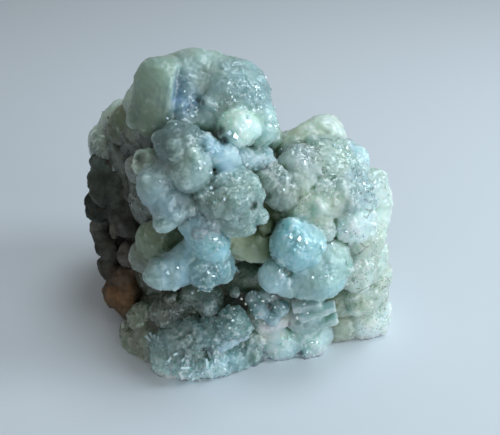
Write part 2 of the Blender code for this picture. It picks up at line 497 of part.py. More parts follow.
def prehnite_material():
    material = bpy.data.materials.new("prehnite")
    material.use_nodes = True
    shader = material.node_tree.nodes["Principled BSDF"]
    shader.inputs["Base Color"].default_value = (0.36, 0.50, 0.42, 1.0)
    shader.inputs["Roughness"].default_value = 0.35
    shader.inputs["Metallic"].default_value = 0.0
    return material


def main():
    for obj in list(bpy.data.objects):
        bpy.data.objects.remove(obj)
    bm = bmesh.new()
    add_domes(bm)
    warp(bm)
    add_rock(bm)
    add_ledges(bm)
    add_crystals(bm)
    stone = mesh_object("prehnite", bm)
    stone.data.materials.append(prehnite_material())
    fuse(stone)
    cut_rest_face(stone)


main()
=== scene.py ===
# %% [markdown]
# # A botryoidal prehnite on its host rock
# Prehnite grows in the gas holes of old lava. Its crystals are thin plates, and they fan out from one
# point until they form a ball. Ball grows against ball, which gives the "bunch of grapes" habit, called
# botryoidal. This script dresses the specimen's CAD solid. It grows the balls again from the same table
# with a finer skin, presses in the deepest gaps, adds crystal faces, and gives the stone a waxy,
# translucent green.

# %% The frame that the solid gives
import itertools
import math
import random

import bmesh
import bpy
import numpy as np
from mathutils import Euler, Matrix, Vector, noise
from mathutils.bvhtree import BVHTree
from mathutils.kdtree import KDTree


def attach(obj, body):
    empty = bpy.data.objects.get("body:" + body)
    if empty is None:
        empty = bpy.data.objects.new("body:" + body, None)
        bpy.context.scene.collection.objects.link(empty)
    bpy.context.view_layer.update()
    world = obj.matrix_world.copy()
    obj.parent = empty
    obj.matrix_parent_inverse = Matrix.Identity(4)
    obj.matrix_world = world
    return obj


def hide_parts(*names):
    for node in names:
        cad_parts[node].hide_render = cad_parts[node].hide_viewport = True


MM = 0.001
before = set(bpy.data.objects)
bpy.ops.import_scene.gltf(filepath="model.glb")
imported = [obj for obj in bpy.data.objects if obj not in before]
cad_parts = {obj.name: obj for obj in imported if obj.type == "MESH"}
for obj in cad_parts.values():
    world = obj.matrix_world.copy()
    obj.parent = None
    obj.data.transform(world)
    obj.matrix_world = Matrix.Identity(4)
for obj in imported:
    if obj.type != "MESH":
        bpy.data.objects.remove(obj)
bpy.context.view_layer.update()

# %% [markdown]
# ## The eye
# The stone is looked at from close by and from above, as a phone would see it. A table of domes could be
# written in plain X, Y and Z, but it is far easier to read a dome's place off a view: how far right, how
# far up, and then how deep. `place` turns those three into a point of the stone.

# %% The camera, and points seen from it
EYE = Vector((2.0, -93.0, 88.0))
LOOK_DOWN = math.radians(35.7)
EYE_TO_PLANE = 106.7
LENS = 46.08
SENSOR_WIDTH = 36.0
VIEW_RIGHT = Vector((1.0, 0.0, 0.0))
VIEW_AHEAD = Vector((0.0, math.cos(LOOK_DOWN), -math.sin(LOOK_DOWN)))
VIEW_UP = Vector((0.0, math.sin(LOOK_DOWN), math.cos(LOOK_DOWN)))


def place(right, up, y):
    """The point at depth y along Y that is seen at (right, up) of the layout plane, in mm."""
    ray = VIEW_RIGHT * right + VIEW_UP * up + VIEW_AHEAD * EYE_TO_PLANE
    return EYE + ray * ((y - EYE.y) / ray.y)


camera = bpy.data.objects.new("camera", bpy.data.cameras.new("camera"))
camera.data.sensor_width = SENSOR_WIDTH
camera.data.lens = LENS
camera.data.clip_start = 0.005
camera.location = EYE * MM
camera.rotation_euler = (math.radians(90.0) - LOOK_DOWN, 0.0, 0.0)
bpy.context.scene.collection.objects.link(camera)
bpy.context.scene.camera = camera
print("the camera looks down by", round(math.degrees(LOOK_DOWN), 1), "degrees")

# %% [markdown]
# ## The domes
# Every ball of crystals is one row: name, right, up, depth, radius, its stretch along X, Y and Z, and how
# many lesser balls (beads) grow on it. Sculpting by hand would work too, but a table can be measured,
# repeated and mended, and it is the same one that the CAD solid is grown from.

# %% The table of domes on the display side
ROUND = (1.0, 1.0, 1.0)
FRONT_DOMES = {
    # name, right, up, y, radius, stretch, beads
    # the crown: a smooth broken dome, a blue face beside the break, and a sugary dome
    "crown": (
        ("crown_left", -14.0, 20.0, -1.0, 5.2, (0.97, 1.0, 1.28), 0),
        ("crown_left_low", -15.4, 17.6, -2.4, 4.1, ROUND, 2),
        ("crown_left_edge", -17.5, 20.0, 0.4, 1.8, (1.0, 1.0, 1.3), 1),
        ("crown_top", -9.4, 22.35, 1.8, 5.5, (1.1, 1.0, 1.0), 3),
        ("crown_top_right", -4.7, 21.4, 0.8, 5.1, (1.05, 1.0, 1.0), 2),
        ("crown_middle", -10.9, 19.0, -0.6, 5.1, (0.75, 1.0, 0.98), 0),
        ("crown_right", -2.7, 20.1, -0.6, 5.6, ROUND, 4),
        ("crown_right_edge", 0.7, 18.4, -0.6, 2.9, (0.9, 1.0, 1.45), 4),
        ("crown_right_low", -4.0, 17.2, -3.0, 3.8, (1.1, 1.0, 1.0), 3),
        ("crown_knob", -2.1, 14.9, -7.2, 2.8, ROUND, 4),
        ("crown_knob_right", 1.6, 15.6, -3.8, 3.0, (0.9, 1.0, 1.3), 3),
        ("crown_neck", 3.8, 13.5, 0.0, 2.0, (0.9, 1.0, 1.5), 1),
        ("crown_chin", -7.4, 16.3, -4.8, 1.9, (1.2, 1.0, 0.9), 4),
        ("crown_chin_left", -10.6, 16.4, -4.6, 2.1, (1.1, 1.0, 0.9), 3),
        ("crown_under", -4.8, 12.9, -4.2, 2.4, (1.3, 1.0, 0.9), 4),
    ),
    # the left shoulder, behind the crown
    "shoulder": (
        ("shoulder", -20.1, 15.8, 4.5, 3.3, (1.05, 1.0, 1.0), 3),
        ("shoulder_right", -17.4, 14.6, 2.0, 3.4, (1.0, 1.0, 1.1), 2),
        ("shoulder_low", -21.0, 13.4, 3.6, 2.4, (1.1, 1.0, 1.0), 3),
        ("shoulder_left", -24.4, 12.4, 5.0, 2.2, ROUND, 4),
        ("shoulder_left_low", -23.6, 10.6, 4.0, 1.9, (1.3, 1.0, 0.8), 3),
    ),
    # the central column of domes
    "column": (
        ("column_top", -11.8, 12.3, -9.5, 3.5, (1.08, 1.0, 0.92), 5),
        ("column_right", -9.6, 7.9, -12.2, 3.3, ROUND, 6),
        ("column_left_top", -16.7, 9.0, -8.8, 2.3, (1.1, 1.0, 1.0), 4),
        ("column_left_back", -19.0, 7.8, -6.0, 1.8, (1.0, 1.0, 1.2), 2),
        ("column_left", -15.7, 5.0, -12.5, 2.9, (1.0, 1.0, 1.1), 5),
        ("column_left_low", -13.2, 2.2, -13.2, 2.9, (1.1, 1.0, 1.0), 5),
        ("column_middle", -13.0, 7.6, -11.0, 2.6, ROUND, 3),
        ("column_bead", -14.1, -0.9, -15.4, 1.6, (1.1, 1.0, 0.9), 3),
        ("column_low", -10.6, 2.0, -12.2, 2.7, (1.0, 1.0, 1.2), 4),
    ),
    # the central dome and the beads hanging under it
    "dome": (
        ("dome", -2.5, 4.0, -12.6, 3.9, (1.05, 1.0, 1.0), 9),
        ("dome_left", -5.9, 3.4, -12.8, 2.8, ROUND, 6),
        ("dome_low", -2.4, 1.0, -13.4, 2.9, (1.15, 1.0, 0.9), 7),
        ("dome_bead", 1.4, 0.0, -14.4, 1.2, (1.0, 1.0, 0.9), 1),
        ("dome_bead_low", -1.2, -1.4, -14.8, 1.2, ROUND, 1),
        ("dome_bead_left", -3.6, -1.5, -14.6, 1.3, ROUND, 1),
        ("neck_left", -2.0, 9.8, -7.2, 2.3, (1.2, 1.0, 0.9), 5),
        ("neck", 1.2, 9.6, -5.4, 2.4, (1.1, 1.0, 0.9), 4),
    ),
    # the lower left: a shaded dome, a stubby finger and the ridge that it grows from
    "lower_left": (
        ("hollow_dome", -15.0, -3.6, -8.2, 3.2, (1.3, 1.0, 1.1), 4),
        ("hollow_low", -17.0, -6.6, -8.4, 2.9, (1.2, 1.0, 1.0), 3),
        ("finger_tip", -14.7, -9.4, -16.2, 2.6, ROUND, 3),
        ("finger", -12.6, -8.8, -15.7, 2.5, (1.1, 1.0, 0.95), 2),
        ("finger_root", -10.2, -6.9, -14.8, 2.4, (1.1, 1.0, 1.0), 3),
        ("ridge", -7.3, -3.6, -14.0, 2.9, (0.95, 1.0, 1.3), 5),
        ("ridge_top", -8.8, -0.6, -13.4, 2.4, (1.2, 1.0, 1.0), 4),
        ("ridge_edge", -5.5, -5.0, -14.8, 1.9, (0.9, 1.0, 1.6), 3),
        ("ridge_low", -7.3, -8.6, -15.4, 2.9, (1.05, 1.0, 1.0), 6),
        ("ridge_foot", -4.5, -8.2, -13.8, 1.8, (1.0, 1.0, 1.3), 3),
        ("ridge_under", -9.8, -8.8, -12.6, 2.3, ROUND, 2),
    ),
    # the deep floor between the ridge and the right-hand mass
    "floor": (
        ("olive_dome", 0.4, -4.6, -8.4, 2.9, (1.3, 1.0, 1.0), 5),
        ("olive_left", -2.8, -3.4, -9.0, 2.6, (1.1, 1.0, 1.0), 3),
        ("olive_bead", 2.6, -1.5, -8.8, 1.0, (1.0, 1.0, 1.1), 0),
        ("olive_back", 4.2, 1.0, -4.4, 3.2, (1.3, 1.0, 0.9), 2),
        ("hollow_back", -1.0, -9.8, -5.0, 3.4, (1.3, 1.0, 1.0), 2),
    ),
    # the blue-green cluster
    "teal": (
        ("teal_dome", 7.5, -4.4, -12.6, 3.9, (1.0, 1.0, 0.98), 7),
        ("teal_low", 11.1, -9.5, -12.8, 4.3, (1.05, 1.0, 0.95), 3),
        ("teal_right", 13.0, -6.6, -11.2, 3.2, ROUND, 6),
        ("teal_knob", 3.7, -9.9, -14.8, 2.3, ROUND, 4),
        ("teal_knob_right", 5.9, -10.7, -14.2, 1.6, (1.1, 1.0, 0.9), 2),
        ("teal_middle", 8.0, -8.8, -12.6, 3.0, ROUND, 5),
    ),
    # the right-hand mass
    "right": (
        ("peak", 12.5, 14.3, 3.0, 2.9, ROUND, 1),
        ("peak_left", 9.8, 12.6, 1.6, 2.9, (1.1, 1.0, 0.9), 1),
        ("peak_saddle", 7.4, 10.9, 0.0, 2.3, (1.0, 1.0, 0.9), 1),
        ("upper_right", 15.9, 9.3, 0.5, 3.5, ROUND, 3),
        ("upper_middle", 12.6, 9.2, -3.0, 3.8, ROUND, 9),
        ("upper_left", 8.6, 8.9, -4.6, 2.8, (1.1, 1.0, 0.9), 7),
        ("edge_top", 19.1, 5.0, 0.4, 3.4, ROUND, 4),
        ("edge_middle", 20.2, 2.9, -0.6, 3.1, (0.95, 1.0, 1.1), 5),
        ("edge_low", 20.2, 0.4, -1.6, 2.9, (0.95, 1.0, 1.1), 4),
        ("right_dome", 15.8, 4.2, -5.5, 4.0, ROUND, 9),
        ("honey_dome", 9.7, 1.5, -7.8, 3.7, (1.05, 1.0, 1.0), 5),
        ("honey_middle", 12.6, 3.6, -7.2, 3.2, ROUND, 7),
        ("honey_knob", 11.5, -1.6, -9.6, 2.1, ROUND, 2),
        ("olive_knob", 8.1, 5.9, -7.2, 2.0, (1.15, 1.0, 0.9), 0),
        ("twin_left", 3.0, 6.2, -7.4, 2.4, ROUND, 4),
        ("twin_right", 5.2, 4.2, -8.4, 2.4, ROUND, 5),
        ("right_middle", 16.4, -0.2, -7.6, 3.6, ROUND, 8),
        ("flank_top", 18.6, -2.8, -5.8, 3.6, ROUND, 6),
        ("flank_edge", 20.0, -6.6, -4.6, 3.2, (0.95, 1.0, 1.1), 7),
        ("flank", 17.4, -8.6, -7.8, 3.5, (1.0, 1.0, 1.1), 8),
        ("flank_knob", 20.5, -9.8, -5.2, 2.7, ROUND, 5),
        ("flank_low", 18.3, -12.4, -6.6, 3.6, ROUND, 6),
        ("flank_inner", 14.6, -13.6, -7.0, 2.6, (1.1, 1.0, 1.0), 3),
        ("flank_foot", 18.8, -16.4, -6.0, 4.0, (1.05, 1.0, 1.0), 6),
        ("flank_foot_right", 20.3, -16.4, -4.6, 3.1, ROUND, 4),
        ("flank_foot_left", 14.4, -17.8, -7.4, 3.3, ROUND, 3),
        ("flank_edge_low", 20.3, -12.9, -4.4, 2.6, (1.0, 1.0, 1.1), 3),
    ),
    # the hollow under the blue-green cluster
    "cave": (
        ("cave_back", 5.0, -13.6, -7.0, 3.4, (1.5, 1.0, 1.0), 5),
        ("cave_floor", 3.0, -16.6, -10.6, 2.9, (1.2, 1.0, 1.0), 6),
        ("cave_right", 9.2, -16.2, -10.2, 2.9, (1.3, 1.0, 0.9), 3),
        ("cave_gap", 7.4, -18.4, -9.2, 2.9, (1.3, 1.0, 1.0), 3),
        ("cave_gap_left", 1.9, -19.6, -11.2, 2.3, (1.2, 1.0, 1.0), 3),
        ("cave_left", -8.0, -13.4, -8.6, 3.3, (1.2, 1.0, 1.0), 4),
    ),
    # the foot, which reaches furthest forward
    "foot": (
        ("foot_centre", -3.0, -17.8, -14.8, 2.6, (1.1, 1.0, 1.1), 6),
        ("foot_centre_left", -6.2, -18.9, -14.2, 2.6, ROUND, 4),
        ("foot_bead", -7.0, -15.0, -13.0, 1.3, (0.9, 1.0, 1.2), 1),
        ("foot_front", -9.8, -20.6, -14.6, 3.7, (1.2, 0.95, 1.05), 3),
        ("foot_front_left", -13.0, -21.4, -13.6, 3.2, ROUND, 4),
        ("toe", -9.8, -24.4, -16.0, 2.8, (1.4, 1.0, 1.0), 5),
        ("toe_left", -13.4, -24.6, -15.8, 2.6, (1.2, 1.0, 1.0), 3),
        ("toe_right", -6.0, -24.2, -16.6, 2.6, (1.3, 1.0, 1.0), 4),
        ("foot_dome", -1.0, -21.3, -13.0, 3.1, (1.0, 1.0, 1.1), 2),
        ("foot_dome_low", -0.2, -23.2, -12.8, 2.6, (1.3, 1.0, 0.9), 3),
        ("foot_right", 4.8, -20.6, -12.0, 2.7, (1.0, 1.0, 1.15), 3),
        ("foot_right_low", 5.0, -22.4, -11.6, 2.2, (1.3, 1.0, 0.9), 2),
        ("foot_right_edge", 9.6, -21.0, -11.0, 2.8, (1.05, 1.0, 1.1), 4),
        ("foot_left", -16.4, -20.8, -11.4, 3.1, (1.1, 1.0, 1.0), 3),
        ("foot_left_low", -16.0, -23.6, -12.4, 2.4, (1.1, 1.0, 1.0), 2),
        ("foot_left_edge", -20.3, -19.2, -7.6, 1.7, (0.95, 1.0, 1.4), 2),
        ("foot_left_back", -17.8, -16.2, -7.4, 2.7, (1.1, 1.0, 1.0), 3),
        ("foot_shade", -13.0, -15.6, -9.6, 3.1, (1.3, 1.0, 1.0), 3),
        ("foot_fill", -3.4, -20.6, -11.6, 3.6, (1.5, 1.0, 1.2), 2),
        ("foot_fill_right", 6.6, -20.4, -10.2, 3.2, (1.6, 1.0, 1.1), 2),
        ("foot_gap_fill", 11.4, -18.6, -8.8, 2.6, (1.2, 1.0, 1.0), 1),
        ("foot_left_corner", -18.8, -20.8, -10.0, 2.3, (1.1, 1.0, 1.0), 2),
        ("foot_under", -3.2, -23.2, -15.2, 2.3, (1.3, 1.0, 1.0), 1),
    ),
    # small crystals in the gaps between the domes
    "small": (
        ("blue_crystal_1", -7.1, 12.5, -9.6, 1.2, ROUND, 2),
        ("blue_crystal_2", -5.9, 11.2, -10.2, 1.4, (1.1, 1.0, 0.9), 3),
        ("blue_crystal_3", -4.8, 9.9, -10.8, 1.4, ROUND, 3),
        ("blue_crystal_4", -3.5, 10.7, -10.0, 1.3, ROUND, 3),
        ("blue_crystal_5", -2.7, 9.5, -9.8, 1.1, ROUND, 2),
        ("blue_crystal_6", -4.1, 8.7, -11.2, 1.0, ROUND, 2),
        ("ridge_crest", -6.4, -0.9, -14.4, 1.5, (0.9, 1.0, 1.3), 3),
        ("ridge_flake", -8.6, -2.6, -15.8, 1.2, (1.0, 1.0, 1.2), 2),
        ("hollow_knob", -2.7, -12.5, -10.8, 1.1, ROUND, 1),
        ("cave_crystal_1", 0.6, -13.8, -10.2, 1.3, (1.2, 1.0, 0.9), 3),
        ("cave_crystal_2", 3.4, -13.2, -9.6, 1.2, (1.2, 1.0, 1.0), 3),
        ("cave_crystal_3", 1.6, -15.4, -12.2, 1.4, ROUND, 3),
        ("cave_crystal_4", 5.2, -15.2, -11.4, 1.3, (1.1, 1.0, 1.0), 3),
        ("cave_crystal_5", 3.6, -17.0, -12.8, 1.3, (1.1, 1.0, 1.0), 3),
        ("cave_crystal_6", 6.8, -17.2, -11.6, 1.2, ROUND, 3),
        ("foot_crystal_1", -1.6, -19.4, -15.2, 1.3, (1.0, 1.0, 1.1), 3),
        ("foot_crystal_2", -3.6, -20.4, -16.0, 1.3, (1.0, 1.0, 1.2), 3),
        ("foot_crystal_3", -5.4, -21.6, -16.8, 1.4, (1.0, 1.0, 1.1), 3),
        ("foot_crystal_4", 2.4, -22.6, -13.4, 1.3, (1.1, 1.0, 1.0), 2),
        ("foot_crystal_5", 7.2, -21.8, -12.6, 1.3, (1.0, 1.0, 1.1), 2),
    ),
}

# %% The domes round the sides and back, the hidden filling and the rock
SIDE_DOMES = (
    # name, x, y, z, radius, stretch, beads
    ("crown_back", -7.5, 6.5, 43.2, 5.6, (1.1, 0.9, 0.9), 6),
    ("crown_back_left", -14.0, 6.0, 40.2, 4.8, (1.0, 0.9, 1.0), 5),
    ("crown_back_right", -1.5, 5.6, 40.0, 4.6, (0.9, 1.0, 1.1), 5),
    ("saddle_back", 5.0, 7.5, 27.0, 4.3, (1.2, 1.0, 1.0), 6),
    ("peak_back", 11.0, 9.0, 29.2, 4.4, (1.1, 0.9, 1.0), 6),
    ("right_back_top", 17.0, 7.5, 27.4, 4.4, ROUND, 7),
    ("right_side_top", 20.5, 4.5, 25.0, 4.2, (0.9, 1.1, 1.0), 7),
    ("right_side", 21.5, 3.0, 17.0, 4.2, (0.9, 1.1, 1.1), 7),
    ("right_side_back", 19.5, 9.0, 20.0, 4.2, (0.9, 1.0, 1.2), 6),
    ("right_side_low", 21.0, 3.0, 8.5, 4.0, (0.9, 1.1, 1.1), 6),
    ("right_side_foot", 20.5, 3.5, 2.5, 3.8, (0.9, 1.2, 1.0), 5),
    ("right_back_low", 18.5, 9.5, 9.5, 4.2, (0.9, 1.0, 1.2), 5),
    ("left_back_top", -20.5, 9.5, 35.0, 3.6, ROUND, 5),
    ("left_back_edge", -24.5, 9.0, 31.5, 2.8, (1.0, 1.1, 1.0), 4),
)
FILLING = (
    # name, x, y, z, radius, stretch: no hollow stays between the domes
    ("under_crown", -8.0, 3.0, 39.0, 8.0, (1.1, 0.9, 1.0)),
    ("under_shoulder", -15.0, 5.5, 32.0, 8.0, (1.0, 0.9, 1.0)),
    ("under_column", -10.0, -0.5, 27.0, 9.0, (1.0, 0.9, 1.0)),
    ("under_dome", -1.5, 1.5, 24.0, 8.5, (1.2, 1.0, 1.1)),
    ("under_foot", -7.0, 1.0, 10.0, 9.5, (1.4, 0.9, 1.1)),
    ("in_the_foot", -8.0, -6.0, 2.0, 7.0, (1.6, 1.2, 0.9)),
    ("under_right", 12.0, 4.0, 23.0, 8.5, (1.0, 0.9, 1.2)),
    ("in_the_flank", 14.0, 1.0, 8.0, 7.5, (1.0, 1.0, 1.2)),
    ("under_cave", 4.0, -2.5, 5.0, 7.5, (1.3, 1.1, 0.9)),
    ("in_the_base", -2.0, 0.5, 2.0, 9.0, (1.9, 1.2, 0.7)),
    ("in_the_right_foot", 15.0, 4.0, 2.0, 6.0, (1.0, 1.2, 0.9)),
)
ROCK_LUMPS = (
    # name, x, y, z, radius, stretch
    ("rust_lump", -22.6, -1.6, 4.2, 3.3, (1.1, 1.0, 0.95)),
    ("rust_lump_low", -20.0, -4.6, 2.6, 2.4, (1.2, 1.0, 1.0)),
    ("rust_step", -24.2, 2.4, 8.6, 2.4, (0.9, 1.0, 1.3)),
    ("left_crumb", -25.6, 2.4, 15.4, 1.9, (0.9, 1.0, 1.2)),
    ("left_crumb_high", -23.8, 0.6, 26.0, 2.1, (1.0, 1.0, 1.2)),
)
LEFT_LUMPS = (
    # name, right, up, y, radius, stretch
    ("left_under_shoulder", -24.8, 9.2, 3.6, 2.1, (1.0, 1.0, 1.1)),
    ("left_cavity_side", -21.4, 7.4, 2.6, 2.3, (1.1, 1.0, 1.0)),
    ("left_crumb_top", -23.0, 7.6, 2.0, 1.0, (1.0, 1.0, 1.2)),
    ("left_high", -24.9, 6.4, 3.0, 2.3, (1.0, 1.0, 1.2)),
    ("left_upper", -22.2, 4.2, 1.2, 2.4, (1.0, 1.0, 1.3)),
    ("left_strip", -19.8, 5.0, -1.6, 1.8, (0.9, 1.0, 1.9)),
    ("left_dark", -25.1, 1.8, 3.0, 2.4, (1.0, 1.0, 1.3)),
    ("left_middle", -22.2, 0.8, 1.0, 2.0, (1.1, 1.0, 1.1)),
    ("left_bead", -22.6, -2.4, -0.6, 1.1, (0.9, 1.0, 1.6)),
    ("left_grey", -20.2, -1.6, -1.6, 2.1, (1.1, 1.0, 1.0)),
    ("left_corner", -25.0, -1.4, 3.0, 1.5, (1.2, 1.0, 0.8)),
    ("left_low", -23.4, -4.6, 1.4, 2.5, (1.0, 1.0, 1.2)),
    ("left_lower", -23.4, -8.2, 1.0, 2.5, (1.0, 1.0, 1.1)),
    ("left_pink", -20.4, -6.2, -2.6, 2.1, (1.0, 1.0, 1.2)),
    ("rust_top", -21.0, -10.0, -1.8, 2.4, (1.1, 1.0, 1.0)),
    ("rust_side", -22.6, -12.0, -0.6, 2.2, (1.0, 1.0, 1.1)),
    ("rust_front", -20.0, -12.4, -3.0, 2.3, ROUND),
    ("rust_foot", -20.4, -14.8, -2.6, 2.0, (1.0, 1.0, 1.2)),
)
ROCK_BLOCKS = {
    # the corners of each block: x, y, z
    "rock_left": (
        (-24.4, 6.0, 31.0), (-25.4, 6.0, 22.5), (-24.4, 4.6, 13.0), (-23.8, 5.2, 5.0),
        (-17.5, 0.8, 30.0), (-18.4, -2.0, 20.0), (-18.8, -1.8, 10.0), (-17.8, -0.4, 1.0),
        (-22.6, 6.0, -1.0), (-22.4, 14.0, -1.0), (-24.6, 14.0, 12.0), (-24.0, 13.0, 27.0),
        (-15.0, 16.0, 33.0), (-12.0, 17.0, -1.0), (-10.0, 4.0, 32.0), (-10.0, 2.0, -1.0),
    ),
    "rock_ledge": (
        (-25.4, 3.2, 24.0), (-27.0, 6.0, 20.0), (-25.8, 4.4, 17.0), (-21.6, 1.0, 22.0),
        (-21.6, 2.0, 17.5), (-23.0, 8.0, 25.0), (-23.0, 9.0, 16.0),
    ),
    "rock_back": (
        (-17.0, 14.6, 36.0), (-6.0, 14.4, 39.0), (5.0, 14.0, 32.0), (14.0, 13.6, 28.0),
        (19.0, 12.4, 22.0), (19.4, 13.0, 10.0), (18.0, 12.0, -1.0), (6.0, 16.8, -1.0),
        (-9.0, 17.4, -1.0), (-20.0, 15.4, -1.0), (-12.0, 17.4, 16.0), (3.0, 17.4, 20.0),
        (-14.0, 4.0, 30.0), (14.0, 4.0, 24.0), (14.0, 4.0, -1.0), (-14.0, 4.0, -1.0),
    ),
    "rock_step": (
        (-10.0, 15.0, 34.0), (1.0, 15.0, 30.0), (4.0, 18.2, 25.0), (-10.0, 18.8, 27.0),
        (-13.0, 18.2, 14.0), (-1.0, 19.2, 12.0), (2.0, 12.0, 22.0), (-10.0, 12.0, 24.0),
    ),
}
LEDGES = (
    # the box that the middles lie in, from and to, the least and the greatest size, and how many
    ((-24.4, 6.0, 2.0), (-22.0, 13.0, 29.0), (2.0, 4.0, 3.0), (4.0, 8.0, 7.0), 34),
    ((-20.5, -1.4, 2.0), (-18.0, 0.8, 27.0), (2.5, 1.5, 2.5), (4.0, 2.8, 4.5), 12),
    ((-15.0, 15.6, 1.0), (14.0, 17.2, 25.5), (4.0, 1.6, 3.0), (11.0, 3.6, 8.0), 70),
    ((14.0, 12.0, 1.0), (18.0, 14.0, 22.0), (3.0, 2.0, 3.0), (6.0, 4.0, 7.0), 14),
)
LEDGE_LEAN = 16.0
SHEAVES = (
    # name, right, up, y, spread, how many blades, their length
    ("toe_sheaf", -9.8, -24.2, -17.4, 3.4, 30, 2.0),
    ("toe_sheaf_right", -5.8, -22.4, -17.0, 1.8, 16, 1.8),
)
SHEAF_LEAN = 24.0
PLATES = (
    # right, up, y, length, rise to the right in degrees
    (11.2, -15.6, -13.0, 6.6, 23.0),
    (9.4, -14.6, -12.4, 5.0, 14.0),
    (12.6, -17.2, -12.2, 4.6, 26.0),
)
PLATE_WIDTH, PLATE_THICKNESS = 2.4, 1.2
# three points of the plane that the crown's left dome broke along: right, up, y
BREAK = ((-12.4, 25.6, -2.0), (-10.3, 20.9, 4.0), (-13.4, 16.4, -7.0))
BROKEN_DOMES = ("crown_left", "crown_left_low", "crown_left_edge")
print(sum(map(len, FRONT_DOMES.values())) + len(SIDE_DOMES), "domes,", len(ROCK_BLOCKS), "blocks of rock")
